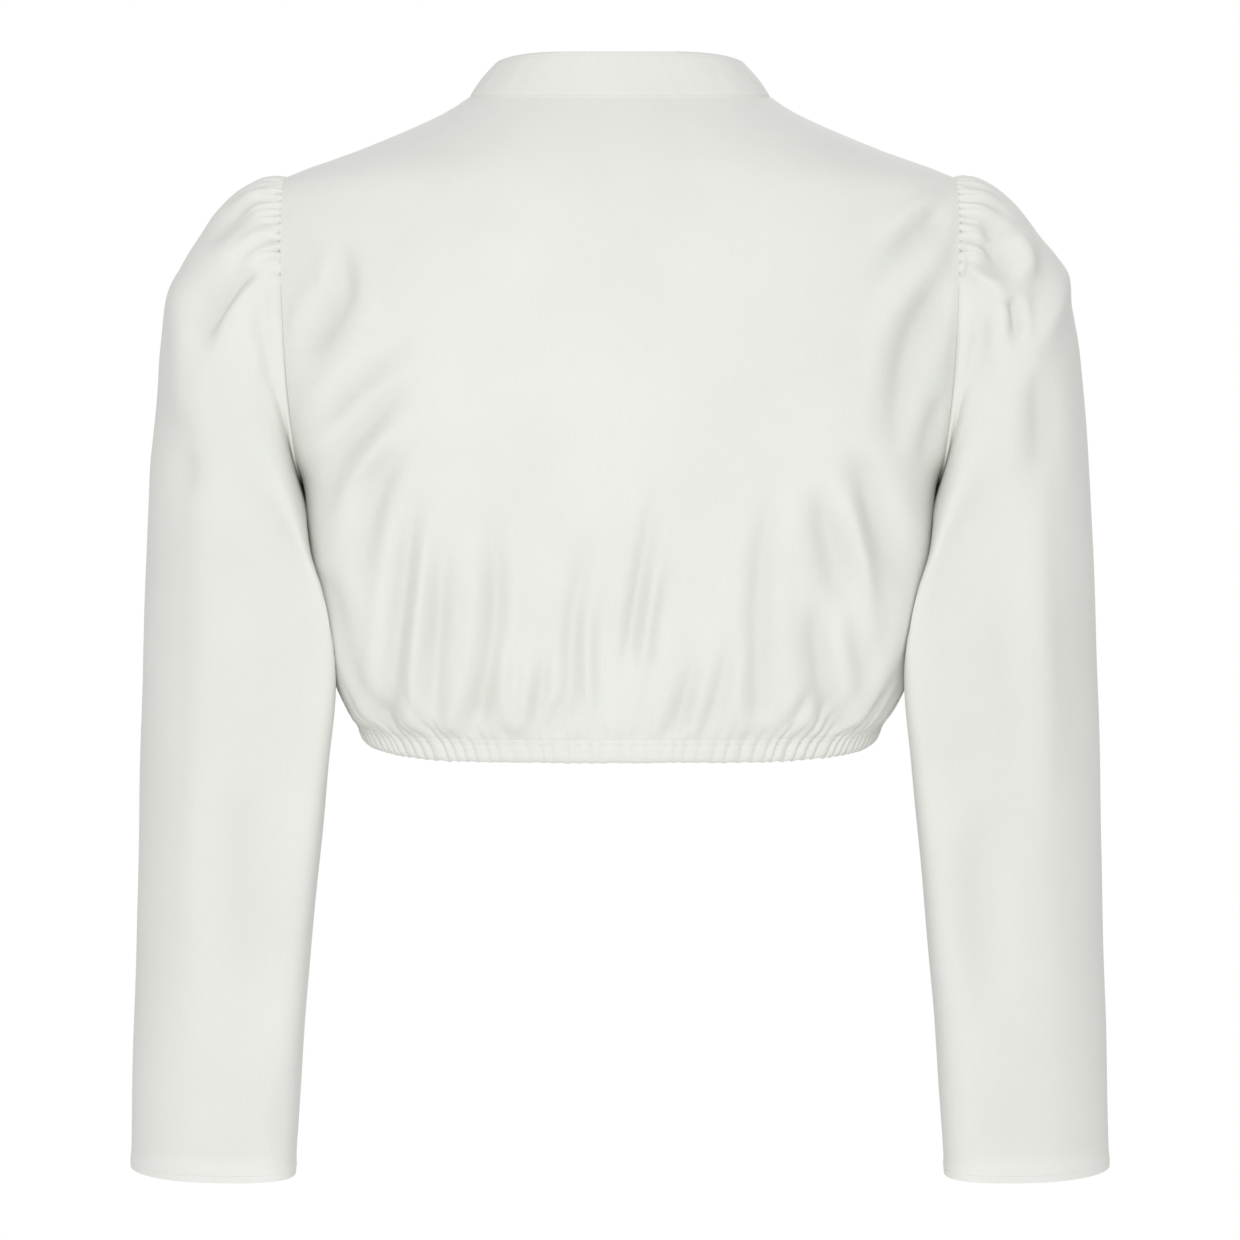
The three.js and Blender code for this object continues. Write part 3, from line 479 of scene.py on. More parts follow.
def fold_lift(folds, x, z):
    """How far the folds move cloth in or out: a soft line with low shoulders on both sides."""
    lift = np.zeros_like(x)
    for fold in folds:
        start_x, start_z, mid_x, mid_z, end_x, end_z, width, depth, fade_in, fade_out, *skew = fold
        left, right = skew or (1.0, 1.0)
        t = np.linspace(0, 1, FOLD_PIECES + 1)
        bend_x = 2 * mid_x - (start_x + end_x) / 2
        bend_z = 2 * mid_z - (start_z + end_z) / 2
        line_x = (1 - t) ** 2 * start_x + 2 * t * (1 - t) * bend_x + t * t * end_x
        line_z = (1 - t) ** 2 * start_z + 2 * t * (1 - t) * bend_z + t * t * end_z
        reach = 4 * width * max(left, right)
        near = ((x > line_x.min() - reach) & (x < line_x.max() + reach)
                & (z > line_z.min() - reach) & (z < line_z.max() + reach))
        if not near.any():
            continue
        near_x = x[near]
        near_z = z[near]
        nearest = np.full(near_x.shape, np.inf)
        at = np.zeros_like(near_x)
        side = np.zeros_like(near_x)
        for i in range(FOLD_PIECES):
            run_x = line_x[i + 1] - line_x[i]
            run_z = line_z[i + 1] - line_z[i]
            from_x, from_z = near_x - line_x[i], near_z - line_z[i]
            share = (from_x * run_x + from_z * run_z) / (run_x ** 2 + run_z ** 2)
            share = np.clip(share, 0.0, 1.0)
            away = (from_x - share * run_x) ** 2 + (from_z - share * run_z) ** 2
            closer = away < nearest
            nearest = np.where(closer, away, nearest)
            at = np.where(closer, (i + share) / FOLD_PIECES, at)
            side = np.where(closer, from_x * run_z - from_z * run_x, side)
        away = np.sqrt(nearest) / (width * np.where(side > 0, left, right))
        fade = smooth_step(at / fade_in + 0.1) if fade_in > 0 else 1.0
        if fade_out > 0:
            fade = fade * smooth_step((1 - at) / fade_out + 0.1)
        shoulder = np.exp(-((away - FOLD_SHOULDER_AT) / FOLD_SHOULDER_WIDTH) ** 2)
        profile = np.exp(-away ** 2) - FOLD_SHOULDER * shoulder
        lift[near] += FOLD_FULLNESS * depth * fade * profile
    return lift


def wander(place, seed, scale=1.0):
    """A smooth, uneven number between about -1 and 1 that depends on a place alone."""
    total = np.zeros_like(place)
    for i, (rate, size) in enumerate(((1.0, 0.5), (2.3, 0.3), (4.1, 0.2))):
        total += size * np.sin(place * rate * scale + seed * (1.7 + i * 2.9) + i)
    return total


def gather_wave(count_place, sharpness=0.75):
    """Round ridges with narrow troughs: 1 on a ridge, -1 in a trough, one for each whole number."""
    return 2 * np.abs(np.sin(math.pi * count_place)) ** sharpness - 1


def hem_wave(round_turn):
    """The puckers that the elastic makes, which cross the seam from the panels to the casing."""
    place = round_turn / (2 * math.pi) * HEM_GATHERS
    size = 0.62 + 0.3 * wander(place, 6.0, 0.6) + 0.34 * wander(place, 12.0, 0.13)
    for group, reach in ((14.5, 5.0), (46.0, 4.0)):
        size = size + 0.45 * np.exp(-((place - group) / reach) ** 2)
    return place, np.maximum(size, 0.15) * gather_wave(place + 0.3 * wander(place, 2.0, 0.8))


def hem_gathers(round_turn, above_hem):
    """Over the seam the many fine puckers soon merge into fewer, longer ones."""
    above = np.maximum(above_hem, 0.0)
    place, fine = hem_wave(round_turn)
    lean = place + 0.035 * above * wander(place, 14.0, 0.12)
    fine_reach = 8 + 5 * wander(place, 3.1, 0.9)
    middle = np.sin(lean * 2.1 + 2.2 * wander(place, 5.0, 0.5))
    middle = middle * (0.9 + 0.5 * wander(place, 15.0, 0.4))
    broad = np.sin(lean * 0.83 + 2.6 * wander(place, 8.0, 0.23))
    broad = broad * (1.0 + 0.6 * wander(place, 17.0, 0.2))
    lift = 0.85 * fine * np.exp(-(above / fine_reach) ** 2)
    lift = lift + 0.9 * middle * smooth_step(above / 5) * np.exp(-(above / 27.0) ** 2)
    return lift + 1.1 * broad * smooth_step(above / 9) * np.exp(-((above - 16.0) / 46.0) ** 2)


def cap_gathers(angle, place, seed):
    """Puckers of the sleeve head, each of its own length and depth."""
    count_place = angle / CAP_GATHER_SPAN * CAP_GATHERS
    length = 0.75 + 0.45 * wander(count_place, seed, 1.3)
    size = 1.25 + 0.5 * wander(count_place, seed + 4.0, 0.9)
    held = smooth_step((CAP_GATHER_SPAN / 2 + 0.06 - np.abs(angle)) / 0.12)
    from_seam = np.maximum(place, 0.0)
    near = gather_wave(count_place + 0.2 * wander(count_place, seed + 9.0, 0.7))
    near = near * np.exp(-(from_seam / length) ** 2)
    merged = np.sin(count_place * 2.3 + 2.0 * wander(count_place, seed + 7.0, 0.4))
    merged = merged * smooth_step(from_seam / 0.5) * np.exp(-((from_seam - 0.7) / 1.3) ** 2)
    return held * (size * near + size * merged)


def rows_and_columns(rows, columns):
    """Two grids of the same shape: the rows' values and the columns' values."""
    return np.meshgrid(rows, columns, indexing="ij")


def add_object(name, data, place=(0.0, 0.0, 0.0), rotation=(0.0, 0.0, 0.0)):
    """An object in the scene."""
    item = bpy.data.objects.new(name, data)
    item.location = place
    item.rotation_euler = rotation
    bpy.context.scene.collection.objects.link(item)
    return item


def add_piece(name, mesh):
    """A smooth-shaded object of a mesh."""
    mesh.shade_smooth()
    return add_object(name, mesh)


def mesh_from_grids(name, outer, inner, uv, closed, doubled=0.0, trough_painted_shade=0.0):
    """One closed shell from an outer and an inner grid of points, in millimetres.

    doubled is where the cloth is whiter for its layers, the last where shade is painted into a
    trough.
    """
    rows, columns = outer.shape[:2]
    points = np.concatenate([outer.reshape(-1, 3), inner.reshape(-1, 3)]) * MM
    index = np.arange(rows * columns).reshape(rows, columns)
    if closed:
        index = np.concatenate([index, index[:, :1]], axis=1)
    inside = index + rows * columns
    quads = [
        np.stack([index[:-1, :-1], index[:-1, 1:], index[1:, 1:], index[1:, :-1]], -1),
        np.stack([inside[:-1, :-1], inside[1:, :-1], inside[1:, 1:], inside[:-1, 1:]], -1),
        np.stack([index[0, :-1], inside[0, :-1], inside[0, 1:], index[0, 1:]], -1),
        np.stack([index[-1, 1:], inside[-1, 1:], inside[-1, :-1], index[-1, :-1]], -1),
    ]
    if not closed:
        quads.append(np.stack([index[1:, 0], inside[1:, 0], inside[:-1, 0], index[:-1, 0]], -1))
        quads.append(np.stack([index[:-1, -1], inside[:-1, -1], inside[1:, -1], index[1:, -1]], -1))
    faces = np.concatenate([q.reshape(-1, 4) for q in quads])
    corners = points[faces]
    volume = sum((corners[:, 0] * np.cross(corners[:, i], corners[:, i + 1])).sum() for i in (1, 2))
    if volume < 0:
        faces = faces[:, ::-1]
    mesh = bpy.data.meshes.new(name)
    mesh.vertices.add(len(points))
    mesh.vertices.foreach_set("co", points.ravel())
    mesh.loops.add(faces.size)
    mesh.loops.foreach_set("vertex_index", faces.ravel().astype(np.int32))
    mesh.polygons.add(len(faces))
    mesh.polygons.foreach_set("loop_start", np.arange(0, faces.size, 4, dtype=np.int32))
    mesh.update(calc_edges=True)
    both = np.concatenate([uv.reshape(-1, 2), uv.reshape(-1, 2)])
    layer = mesh.uv_layers.new(name="cloth")
    layer.data.foreach_set("uv", both[faces.ravel()].ravel())
    for title, values in (("doubled", doubled), ("trough_painted_shade", trough_painted_shade)):
        flat = np.broadcast_to(np.asarray(values, dtype=float), outer.shape[:2]).ravel()
        attribute = mesh.attributes.new(title, "FLOAT", "POINT")
        attribute.data.foreach_set("value", np.concatenate([flat, flat]))
    mesh.validate()
    piece = add_piece(name, mesh)
    mesh.set_sharp_from_angle(angle=math.radians(55))
    return piece


def cloth_uv(points):
    """Distances along a grid of points, in metres, from its middle column and first row."""
    across = np.linalg.norm(np.diff(points, axis=1), axis=-1)
    u = np.concatenate([np.zeros((len(points), 1)), np.cumsum(across, axis=1)], axis=1)
    u = u - u[:, u.shape[1] // 2][:, None]
    along = np.linalg.norm(np.diff(points, axis=0), axis=-1)
    v = np.concatenate([np.zeros((1, points.shape[1])), np.cumsum(along, axis=0)], axis=0)
    return np.stack([u, v], axis=-1) * MM


def panel_heights(below, beside, above):
    """Row heights: closer near the hem, and where the armhole's edge runs level."""
    low = HEM_SEAM + (UNDERARM - HEM_SEAM) * np.linspace(0, 1, below + 1)[:-1] ** 1.4
    eased = (1 - np.cos(np.linspace(0, math.pi, beside + 1)[:-1])) / 2
    middle = UNDERARM + (SHOULDER_TIP - UNDERARM) * eased
    high = np.linspace(SHOULDER_TIP, NECK_POINT, above + 1)
    under_casing = [HEM_SEAM - 2.4, HEM_SEAM - 1.2, HEM_SEAM - 0.3]
    return np.concatenate([under_casing, low, middle, high])


def body_cloth(facing, turn, height, edge, folds, mirror):
    """A body panel's points and normals, how its folds lift it, and its painted trough shade."""
    surface = partial(body_point, facing)
    base = surface(turn, height)
    normal = outward(surface, turn, height, PANEL_STEPS, facing)
    above_hem = height - HEM_SEAM
    at_side = (turn < 0.0045) | (turn > math.pi - 0.0045)
    normal[..., 1] = np.where(at_side, 0.0, normal[..., 1])
    normal[..., 2] = normal[..., 2] * smooth_step(above_hem / 12.0)
    normal = unit(normal)
    x, z = seen_at(base)
    just_above = body_ring(facing, np.maximum(height, UNDERARM + 0.01))[3]
    held = np.maximum(edge, just_above * smooth_step(1 + (height - UNDERARM) / 18.0))
    inside = smooth_step((np.minimum(turn, math.pi - turn) - held) / 0.08)
    lift = fold_lift(folds, x * mirror, z) * inside * smooth_step((above_hem + 2) / 20.0)
    round_turn = turn if facing > 0 else 2 * math.pi - turn
    lift = lift + hem_gathers(round_turn, above_hem)
    # Painted shade: the deeper a trough of a fold or gather, the darker its colour is painted.
    trough_painted_shade = np.clip(-lift / DEEP, 0, 1)
    lift = lift - UNDER_CASING_STEP * smooth_step(-above_hem)
    return base, normal, lift, trough_painted_shade


def body_panel(name, facing, heights, columns, from_turn, to_turn, folds, mirror):
    """A back or front; the armhole's cut draws the nearest columns in."""
    height, share = rows_and_columns(heights, np.linspace(0, 1, columns + 1))
    edge = body_ring(facing, height)[3]
    plain = from_turn + (to_turn - from_turn) * share
    power = np.clip(0.85 * QUARTER / np.maximum(edge, 0.01), 1.2, 6.0)
    moved = edge * np.maximum(1 - plain / QUARTER, 0) ** power
    turn = plain + moved - edge * np.maximum(plain / QUARTER - 1, 0) ** power
    base, normal, lift, trough_painted_shade = body_cloth(facing, turn, height, edge, folds, mirror)
    outer = lifted(base, normal, lift)
    inner = lifted(base, normal, lift - CLOTH)
    return mesh_from_grids(name, outer, inner, cloth_uv(base), False, 0.0, trough_painted_shade)


def casing_cloth(turn, share):
    """Outer and inner points of the casing, with its normals; share 0 is the lower edge."""
    height = HEM_EDGE + (HEM_SEAM - HEM_EDGE) * share
    base = round_point(turn, height)
    normal = level_normals(base)
    place, wave = hem_wave(turn)
    puffed = np.sin(np.clip(share, 0, 1) * math.pi) ** 0.6
    lift = wave * (0.85 + 0.3 * puffed) + 0.6 * puffed - 0.06
    lift = lift - 0.3 * np.exp(-((share - CASING_STITCH) / 0.08) ** 2)
    lift = lift - 1.5 * np.maximum(1 - share / 0.3, 0) ** 2
    edge_wave = 0.4 * wave * np.exp(-(share / 0.3) ** 2) + 0.3 * wander(place, 9.0, 0.5)
    outer = lifted(base, normal, lift)
    inner = lifted(base, normal, lift - DOUBLED_CLOTH)
    outer[..., 2] += edge_wave * (1 - share)
    inner[..., 2] += edge_wave * (1 - share)
    return outer, inner, normal


def round_the_hem():
    """Turns round the casing, from one side of the front's middle to the other."""
    start = -QUARTER + 0.003
    return np.linspace(start, start + 2 * math.pi - 0.006, CASING_COLUMNS + 1)


def make_hem_casing():
    """The casing over the elastic, with a pucker at every gather and a stitched upper edge."""
    share, turn = rows_and_columns(np.linspace(0, 1, CASING_ROWS), round_the_hem())
    outer, inner, _ = casing_cloth(turn, share)
    return mesh_from_grids("hem_casing_cloth", outer, inner, cloth_uv(outer), False, 0.3)


def collar_grid(turn, share):
    """The collar's own surface: share 0 is the neck seam, 1 the upper edge."""
    foot = round_point(turn, np.full_like(turn, NECK_POINT))
    lean = 1 - COLLAR_LEAN * share / NECK_HALF
    bow = COLLAR_BOW * np.sin(share * math.pi)
    front_share = smooth_step(-foot[..., 1] / NECK_FRONT)
    back_share = smooth_step(foot[..., 1] / NECK_BACK)
    height = (COLLAR_SIDE_HEIGHT + (COLLAR_BACK_HEIGHT - COLLAR_SIDE_HEIGHT) * back_share
              + (COLLAR_FRONT_HEIGHT - COLLAR_SIDE_HEIGHT) * front_share)
    x = foot[..., 0] * lean + bow * foot[..., 0] / NECK_HALF
    y = foot[..., 1] * (lean + COLLAR_FRONT_UPRIGHT * share * front_share)
    z = foot[..., 2] - SEAM_GAP + height * share
    return np.stack([x, y, z], axis=-1)


def collar_turns():
    """Turns from the collar's one front end round the back to the other."""
    front_turn = QUARTER - COLLAR_OPEN_HALF / NECK_FRONT
    return np.linspace(-front_turn, math.pi + front_turn, COLLAR_COLUMNS + 1)


def collar_cloth(turn, share):
    """Outer and inner points of the collar, with its normals; share 0 is the neck seam."""
    base = collar_grid(turn, share)
    normal = level_normals(base)
    lift = 0.35 * wander(turn * 9.0, 4.0) * np.sin(share * math.pi)
    lift = lift - 0.5 * np.exp(-(share / 0.06) ** 2) - 0.45 * smooth_step((share - 0.93) / 0.07)
    thick = DOUBLED_CLOTH - 0.5 * smooth_step((share - 0.93) / 0.07)
    return lifted(base, normal, lift), lifted(base, normal, lift - thick), normal


def make_collar():
    """The stand collar, doubled, with a soft rolled edge and a pressed seam at its foot."""
    share, turn = rows_and_columns(np.linspace(0, 1, COLLAR_ROWS), collar_turns())
    outer, inner, _ = collar_cloth(turn, share)
    return mesh_from_grids("collar_cloth", outer, inner, cloth_uv(outer), False)


def push_off_body(points):
    """How far outward a sleeve's points must go to rest on the body's cloth."""
    x, y, z = points[..., 0], points[..., 1], points[..., 2]
    depth = np.where(y > 0, read_body(BACK, z), read_body(FRONT, z))
    square = read_body(SQUARE, z)
    fill = np.clip(1 - (np.abs(y) / depth) ** square, 0, 1) ** (1 / square)
    inside = read_body(HALF, z) * fill + SLEEVE_REST - x
    return (inside + np.sqrt(inside ** 2 + SLEEVE_REST ** 2)) / 2


def sleeve_cloth(angle, place, back_folds, front_folds, seed):
    """A sleeve's points and normals, how its folds lift it, and its painted trough shade.

    The first rows, at places below 0, turn in under the panels' edges.
    """
    base = sleeve_point(angle, np.maximum(place, 0.0))
    held = np.clip(place, 0.01, LAST_RING - 0.01)
    normal = outward(sleeve_point, angle, held, SLEEVE_STEPS, -1)
    x, z = seen_at(base)
    side_fade = smooth_step(np.abs(np.sin(angle)) / 0.3)
    folds = np.where(np.sin(angle) > 0, fold_lift(back_folds, x, z), fold_lift(front_folds, x, z))
    lift = folds * side_fade * smooth_step(place / 0.8)
    lift = lift + cap_gathers(angle, place, seed)
    lift = lift + 0.6 * wander(z * 0.018 + 1.3 * np.cos(angle), seed + 2.0) * smooth_step(place / 4)
    # Painted shade: the deeper a trough of a fold or gather, the darker its colour is painted.
    trough_painted_shade = np.clip(-lift / DEEP, 0, 1)
    rolled = 1 - smooth_step((CAP_GATHER_SPAN / 2 + 0.1 - np.abs(angle)) / 0.2)
    lift = lift + 0.7 * rolled * np.exp(-((place - 0.45) / 0.3) ** 2)
    lift = lift - 0.2 * np.exp(-(place / 0.1) ** 2) - 0.5 * smooth_step(-place / 0.05)
    base[..., 0] += SLEEVE_TURN_IN * np.minimum(place, 0.0)
    beside_body = smooth_step((place - 4.5) / 1.5)
    base[..., 0] += push_off_body(lifted(base, normal, lift)) * beside_body
    return base, normal, lift, trough_painted_shade


def make_sleeve(name, side, back_folds, front_folds, seed):
    """A sleeve with its hem; side is 1 at the wearer's left and -1 at the right."""
    on_sleeve = LAST_RING * np.linspace(0, 1, SLEEVE_ROWS) ** 1.6
    places = np.concatenate([[-0.3, -0.1, -0.04], on_sleeve])
    half_cap = CAP_GATHER_SPAN / 2
    over_cap = np.linspace(-half_cap, half_cap, CAP_COLUMNS + 1)
    below_cap = np.linspace(half_cap, 2 * math.pi - half_cap, COLUMNS_BELOW_CAP)[1:-1]
    place, angle = rows_and_columns(places, np.concatenate([over_cap, below_cap]))
    base, normal, lift, trough_painted_shade = sleeve_cloth(angle, place, back_folds, front_folds, seed)
    to_cuff = SLEEVE_RINGS[-1, OUTER_Z] - base[..., 2]
    hem = smooth_step((to_cuff + CUFF_HEM + 0.6) / 1.2)
    lift = lift + CUFF_HEM_LIFT * hem
    outer = lifted(base, normal, lift)
    inner = lifted(base, normal, lift - CLOTH - CUFF_HEM_EXTRA * hem)
    flip = np.array([side, 1.0, 1.0])
    return mesh_from_grids(name, outer * flip, inner * flip, cloth_uv(base), True, hem, trough_painted_shade)


def cuff_line(side, back_folds, front_folds, seed):
    """Points and normals of the row of stitches round a cuff."""
    angle = np.linspace(0, 2 * math.pi, CUFF_COLUMNS)[None, :]
    place = np.full_like(angle, LAST_RING - CUFF_STITCH)
    base, normal, lift, _ = sleeve_cloth(angle, place, back_folds, front_folds, seed)
    flip = np.array([side, 1.0, 1.0])
    line = lifted(base, normal, lift + CUFF_HEM_LIFT)
    return (line * flip)[0], (normal * flip)[0]


def band_lift(height):
    """How far the band lies in front of the panels: more where it covers the hem's gathers."""
    near_hem = smooth_step(1 - (height - HEM_SEAM - 10) / 35.0)
    return BAND_LIFT + (BAND_LIFT_AT_HEM - BAND_LIFT) * near_hem


def band_ripple(height):
    """The band's slight waves along its length."""
    return BAND_RIPPLE * wander(height * 0.09, 3.0)


def band_point(x, height, lift):
    """A point above the fronts near their middle, and the fronts' normal there."""
    surface = partial(body_point, -1)
    half = body_ring(-1, height)[0]
    turn = QUARTER - np.arcsin(x / half)
    normal = outward(surface, turn, height, BAND_STEPS, -1)
    return lifted(surface(turn, height), normal, lift), normal


def make_band():
    """The button band, doubled cloth with a slightly raised edge on both sides."""
    height, x = rows_and_columns(np.linspace(HEM_EDGE + 1, NECK_POINT - 6, BAND_ROWS),
                                 np.linspace(-BAND_WIDTH / 2, BAND_WIDTH / 2, BAND_COLUMNS))
    edge = np.exp(-(np.abs(x) - BAND_WIDTH / 2 + 0.8) ** 2)
    ripple = band_ripple(height) + 0.3 * edge
    outer = band_point(x, height, band_lift(height) + DOUBLED_CLOTH + ripple)[0]
    inner = band_point(x, height, band_lift(height) + ripple)[0]
    return mesh_from_grids("button_band_cloth", outer, inner, cloth_uv(outer), False, 0.6)


def lathe(name, profile, steps, place, normal):
    """A closed turned form round an axis, at a place in millimetres."""
    vertices = []
    faces = []
    for radius, rise in profile:
        for i in range(steps):
            angle = 2 * math.pi * i / steps
            x, y = radius * math.cos(angle), radius * math.sin(angle)
            vertices.append((x * MM, y * MM, rise * MM))
    for r in range(len(profile) - 1):
        for i in range(steps):
            j = (i + 1) % steps
            faces.append((r * steps + i, r * steps + j, (r + 1) * steps + j, (r + 1) * steps + i))
    faces.append(tuple(reversed(range(steps))))
    faces.append(tuple(range((len(profile) - 1) * steps, len(profile) * steps)))
    mesh = bpy.data.meshes.new(name)
    mesh.from_pydata(vertices, [], faces)
    turn = Vector(normal).to_track_quat("Z", "Y").to_matrix().to_4x4()
    mesh.transform(Matrix.Translation(Vector(place) * MM) @ turn)
    return add_piece(name, mesh)


def stitches(name, points, normals):
    """A row of short sewn threads along a line of points, as one mesh."""
    steps = np.linalg.norm(np.diff(points, axis=0), axis=-1)
    along = np.concatenate([[0.0], np.cumsum(steps)])
    sides = STITCH_SIDES
    ring = [(math.cos(a), math.sin(a)) for a in np.linspace(0, 2 * math.pi, sides + 1)[:-1]]
    vertices = []
    faces = []

    def sample(table, at):
        return np.array([np.interp(at, along, table[:, i]) for i in range(3)])

    for start in np.arange(STITCH_START, along[-1] - STITCH_LENGTH, STITCH_PITCH):
        low = sample(points, start)
        high = sample(points, start + STITCH_LENGTH)
        normal = sample(normals, start + STITCH_LENGTH / 2)
        normal = normal / np.linalg.norm(normal)
        run = high - low
        side = np.cross(run, normal)
        side = side / np.linalg.norm(side)
        first = len(vertices)
        for share, wide, rise in STITCH_SHAPE:
            centre = low + run * share + normal * STITCH_RADIUS * rise
            for cos, sin in ring:
                off = STITCH_RADIUS * wide * (side * cos + normal * sin)
                vertices.append((centre + off) * MM)
        last = first + (len(STITCH_SHAPE) - 1) * sides
        for a in range(first, last, sides):
            for i in range(sides):
                j = (i + 1) % sides
                faces.append((a + i, a + j, a + sides + j, a + sides + i))
        faces.append(tuple(reversed(range(first, first + sides))))
        faces.append(tuple(range(last, last + sides)))
    mesh = bpy.data.meshes.new(name)
    mesh.from_pydata(vertices, [], faces)
    return add_piece(name, mesh)


def new_material(name):
    """A material with its nodes, its links and its shader."""
    material = bpy.data.materials.new(name)
    material.use_nodes = True
    tree = material.node_tree
    return material, tree.nodes, tree.links, tree.nodes["Principled BSDF"]


def set_inputs(node, **values):
    """Set inputs of a node; an underscore stands for a space in an input's name."""
    for name, value in values.items():
        node.inputs[name.replace("_", " ")].default_value = value


def add_noise(nodes, links, place, scale, detail=2.0):
    noise = nodes.new("ShaderNodeTexNoise")
    set_inputs(noise, Scale=scale, Detail=detail)
    links.new(place, noise.inputs["Vector"])
    return noise.outputs["Fac"]


def add_math(nodes, links, operation, first, second, third=None):
    """A calculation; each value is a number or the output of a node."""
    node = nodes.new("ShaderNodeMath")
    node.operation = operation
    for socket, value in zip(node.inputs, (first, second, third)):
        if isinstance(value, float):
            socket.default_value = value
        elif value is not None:
            links.new(value, socket)
    return node.outputs["Value"]


def add_tone(nodes, links, under, tone, share):
    """A tone laid over a colour as far as a share says."""
    mix = nodes.new("ShaderNodeMix")
    mix.data_type = "RGBA"
    set_inputs(mix, B=(*tone, 1))
    links.new(share, mix.inputs["Factor"])
    links.new(under, mix.inputs["A"])
    return mix.outputs["Result"]


def add_attribute(nodes, name):
    node = nodes.new("ShaderNodeAttribute")
    node.attribute_name = name
    return node.outputs["Fac"]


def cotton_material():
    """Plain-woven cotton with slow patches, uneven threads, whiter layers and painted trough shade.
    """
    material, nodes, links, shader = new_material("off_white_cotton")
    set_inputs(shader, Roughness=0.82, Specular_IOR_Level=0.25)
    set_inputs(shader, Sheen_Weight=0.12, Sheen_Roughness=0.5)
    place = nodes.new("ShaderNodeUVMap")
    place.uv_map = "cloth"
    objects = nodes.new("ShaderNodeTexCoord")
    stretch = nodes.new("ShaderNodeMapping")
    set_inputs(stretch, Scale=(1.0, 0.12, 1.0))
    links.new(place.outputs["UV"], stretch.inputs["Vector"])
    clouds = add_noise(nodes, links, objects.outputs["Object"], 14.0, 3.0)
    slubs = add_noise(nodes, links, stretch.outputs["Vector"], 900.0)
    patches = nodes.new("ShaderNodeValToRGB")
    for element, (position, colour) in zip(patches.color_ramp.elements, PATCH_TONES):
        element.position = position
        element.color = (*colour, 1)
    mostly_clouds = add_math(nodes, links, "MULTIPLY", clouds, 0.7)
    mixed = add_math(nodes, links, "MULTIPLY_ADD", slubs, 0.3, mostly_clouds)
    links.new(mixed, patches.inputs["Fac"])
    layers = add_math(nodes, links, "MULTIPLY", add_attribute(nodes, "doubled"), 0.5)
    colour = add_tone(nodes, links, patches.outputs["Color"], DOUBLED_TONE, layers)
    # Painted shade: the troughs of folds and gathers are darkened in the base colour.
    colour = add_tone(nodes, links, colour, TROUGH_PAINTED_SHADE_TONE, add_attribute(nodes, "trough_painted_shade"))
    links.new(colour, shader.inputs["Base Color"])
    # Warp and weft, about 30 threads to the centimetre.
    weave = []
    for direction in ("X", "Y"):
        threads = nodes.new("ShaderNodeTexWave")
        threads.wave_type = "BANDS"
        threads.bands_direction = direction
        set_inputs(threads, Scale=480.0, Distortion=0.6, Detail=1.0)
        links.new(place.outputs["UV"], threads.inputs["Vector"])
        weave.append(threads.outputs["Fac"])
    crossed = add_math(nodes, links, "MAXIMUM", *weave)
    bump = nodes.new("ShaderNodeBump")
    set_inputs(bump, Strength=0.12, Distance=0.0003)
    links.new(add_math(nodes, links, "ADD", crossed, slubs), bump.inputs["Height"])
    links.new(bump.outputs["Normal"], shader.inputs["Normal"])
    return material


def plain_material(name, colour, roughness, noise_scale, spread):
    """A matt or glossy material with a slight, slow change of tone and roughness."""
    material, nodes, links, shader = new_material(name)
    objects = nodes.new("ShaderNodeTexCoord")
    noise = add_noise(nodes, links, objects.outputs["Object"], noise_scale)
    tint = nodes.new("ShaderNodeValToRGB")
    tint.color_ramp.elements[0].color = (*[c * (1 - spread) for c in colour], 1)
    tint.color_ramp.elements[1].color = (*colour, 1)
    links.new(noise, tint.inputs["Fac"])
    links.new(tint.outputs["Color"], shader.inputs["Base Color"])
    gloss = nodes.new("ShaderNodeMapRange")
    set_inputs(gloss, To_Min=roughness * 0.85, To_Max=roughness * 1.15)
    links.new(noise, gloss.inputs["Value"])
    links.new(gloss.outputs["Result"], shader.inputs["Roughness"])
    return material


def dress(piece, node, material):
    """Give a piece its material, its body, the node that it replaces, if any."""
    piece.data.materials.clear()
    piece.data.materials.append(material)
    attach(piece, "root")
    if node:
        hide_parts(node)


def sew(name, line, normals, thread):
    """A row of stitches on the cotton, which replaces nothing."""
    dress(stitches(name, line, normals), None, thread)


def make_camera():
    """The camera behind the blouse, which sees as many millimetres as the photograph shows."""
    camera = bpy.data.cameras.new("camera")
    camera.sensor_width = SENSOR
    camera.sensor_height = SENSOR
    frame_width = PHOTO_PIXELS * MM_PER_PIXEL
    camera.lens = SENSOR * SEEN_FROM / frame_width
    camera.clip_end = 50.0
    place = (0.0, SEEN_FROM * MM, SEEN_HEIGHT * MM)
    bpy.context.scene.camera = add_object("camera", camera, place, (QUARTER, 0.0, math.pi))


def area_light(name, place, aim, size, power):
    """A round light that faces a point."""
    light = bpy.data.lights.new(name, "AREA")
    light.shape = "DISK"
    light.size = size
    light.energy = power
    turn = (Vector(aim) - Vector(place)).to_track_quat("-Z", "Y")
    add_object(name, light, place, turn.to_euler())


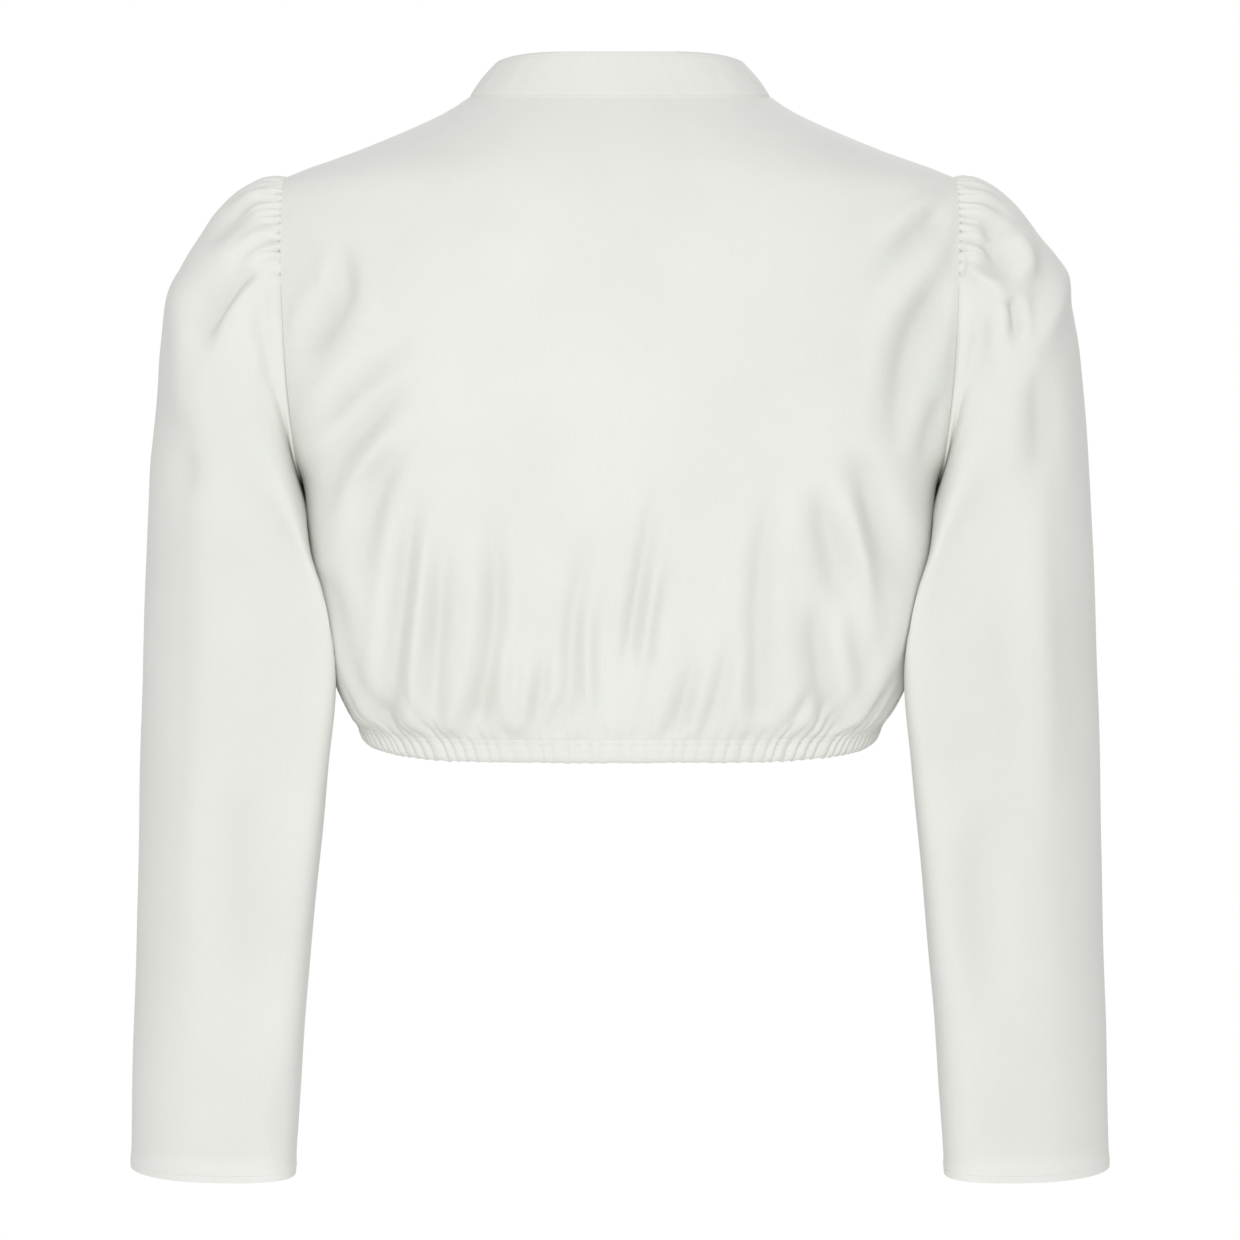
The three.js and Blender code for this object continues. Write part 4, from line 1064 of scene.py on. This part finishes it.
def make_studio():
    """White surroundings, two lights and a pale floor."""
    world = bpy.data.worlds.new("studio")
    bpy.context.scene.world = world
    world.use_nodes = True
    nodes = world.node_tree.nodes
    links = world.node_tree.links
    nodes.clear()
    output = nodes.new("ShaderNodeOutputWorld")
    path = nodes.new("ShaderNodeLightPath")
    mix = nodes.new("ShaderNodeMixShader")
    links.new(path.outputs["Is Camera Ray"], mix.inputs["Fac"])
    for socket, strength in ((1, WORLD_FILL), (2, WORLD_SEEN)):
        light = nodes.new("ShaderNodeBackground")
        set_inputs(light, Color=(1, 1, 1, 1), Strength=strength)
        links.new(light.outputs["Background"], mix.inputs[socket])
    links.new(mix.outputs["Shader"], output.inputs["Surface"])
    bpy.context.scene.view_settings.view_transform = "Standard"
    for name, place, size, power in LIGHTS:
        area_light(name, place, (0.0, 0.0, SEEN_HEIGHT * MM), size, power)
    bpy.ops.mesh.primitive_circle_add(vertices=128, radius=FLOOR_RADIUS, fill_type="NGON",
                                      location=(0, 0, FLOOR_HEIGHT))
    floor = bpy.context.object
    floor.name = "floor"
    floor.data.materials.append(plain_material("pale_floor", (0.86, 0.86, 0.85), 0.8, 3.0, 0.03))


make_camera()
make_studio()
cotton = cotton_material()
button_plastic = plain_material("button_plastic", (0.86, 0.85, 0.80), 0.3, 220.0, 0.06)
thread = plain_material("sewing_thread", (0.80, 0.81, 0.77), 0.7, 900.0, 0.1)

back = body_panel("back_cloth", 1, panel_heights(*BACK_ROWS), BACK_COLUMNS, 0, math.pi,
                  BACK_FOLDS, 1)
front_heights = panel_heights(*FRONT_ROWS)
front_left = body_panel("front_left_cloth", -1, front_heights, FRONT_COLUMNS,
                        0, QUARTER - FRONT_GAP_TURN, FRONT_FOLDS, 1)
front_right = body_panel("front_right_cloth", -1, front_heights, FRONT_COLUMNS,
                         QUARTER + FRONT_GAP_TURN, math.pi, FRONT_FOLDS, -1)
left_sleeve = (1, SLEEVE_LEFT_FOLDS, SLEEVE_RIGHT_FOLDS, 1.0)
right_sleeve = (-1, SLEEVE_RIGHT_FOLDS, SLEEVE_LEFT_FOLDS, 5.0)
sleeve_left = make_sleeve("sleeve_left_cloth", *left_sleeve)
sleeve_right = make_sleeve("sleeve_right_cloth", *right_sleeve)
collar = make_collar()
casing = make_hem_casing()
band = make_band()
for piece, node in (
    (back, "back_panel"), (front_left, "front_left"), (front_right, "front_right"),
    (sleeve_left, "sleeve_left"), (sleeve_right, "sleeve_right"),
    (collar, "collar"), (casing, "hem_casing"), (band, "button_band"),
):
    dress(piece, node, cotton)

turns = round_the_hem()
line, _, normals = casing_cloth(turns, np.full_like(turns, CASING_STITCH))
sew("hem_casing_stitches", line, normals, thread)
turns = collar_turns()
for name, share in COLLAR_STITCHES:
    line, _, normals = collar_cloth(turns, np.full_like(turns, share))
    sew(name, line, normals, thread)
for name, side in (("band_left_stitches", 1), ("band_right_stitches", -1)):
    heights = np.linspace(HEM_EDGE + 3, NECK_POINT - 8, BAND_ROWS)
    lift = band_lift(heights) + DOUBLED_CLOTH + band_ripple(heights)
    x = np.full_like(heights, side * (BAND_WIDTH / 2 - BAND_EDGE_STITCH))
    line, normals = band_point(x, heights, lift)
    sew(name, line, normals, thread)
sew("cuff_left_stitches", *cuff_line(*left_sleeve), thread)
sew("cuff_right_stitches", *cuff_line(*right_sleeve), thread)

top = NECK_POINT - BUTTON_BELOW_NECK
low = HEM_SEAM + BUTTON_ABOVE_HEM
for number in range(1, BUTTON_COUNT + 1):
    height = np.array(top + (low - top) * ((number - 1) / (BUTTON_COUNT - 1)))
    lift = band_lift(height) + DOUBLED_CLOTH + BUTTON_OFF_BAND
    place, normal = band_point(np.array(0.0), height, lift)
    button = lathe(f"button_{number}_turned", BUTTON_PROFILE, BUTTON_STEPS, place, normal)
    dress(button, f"button_{number}", button_plastic)
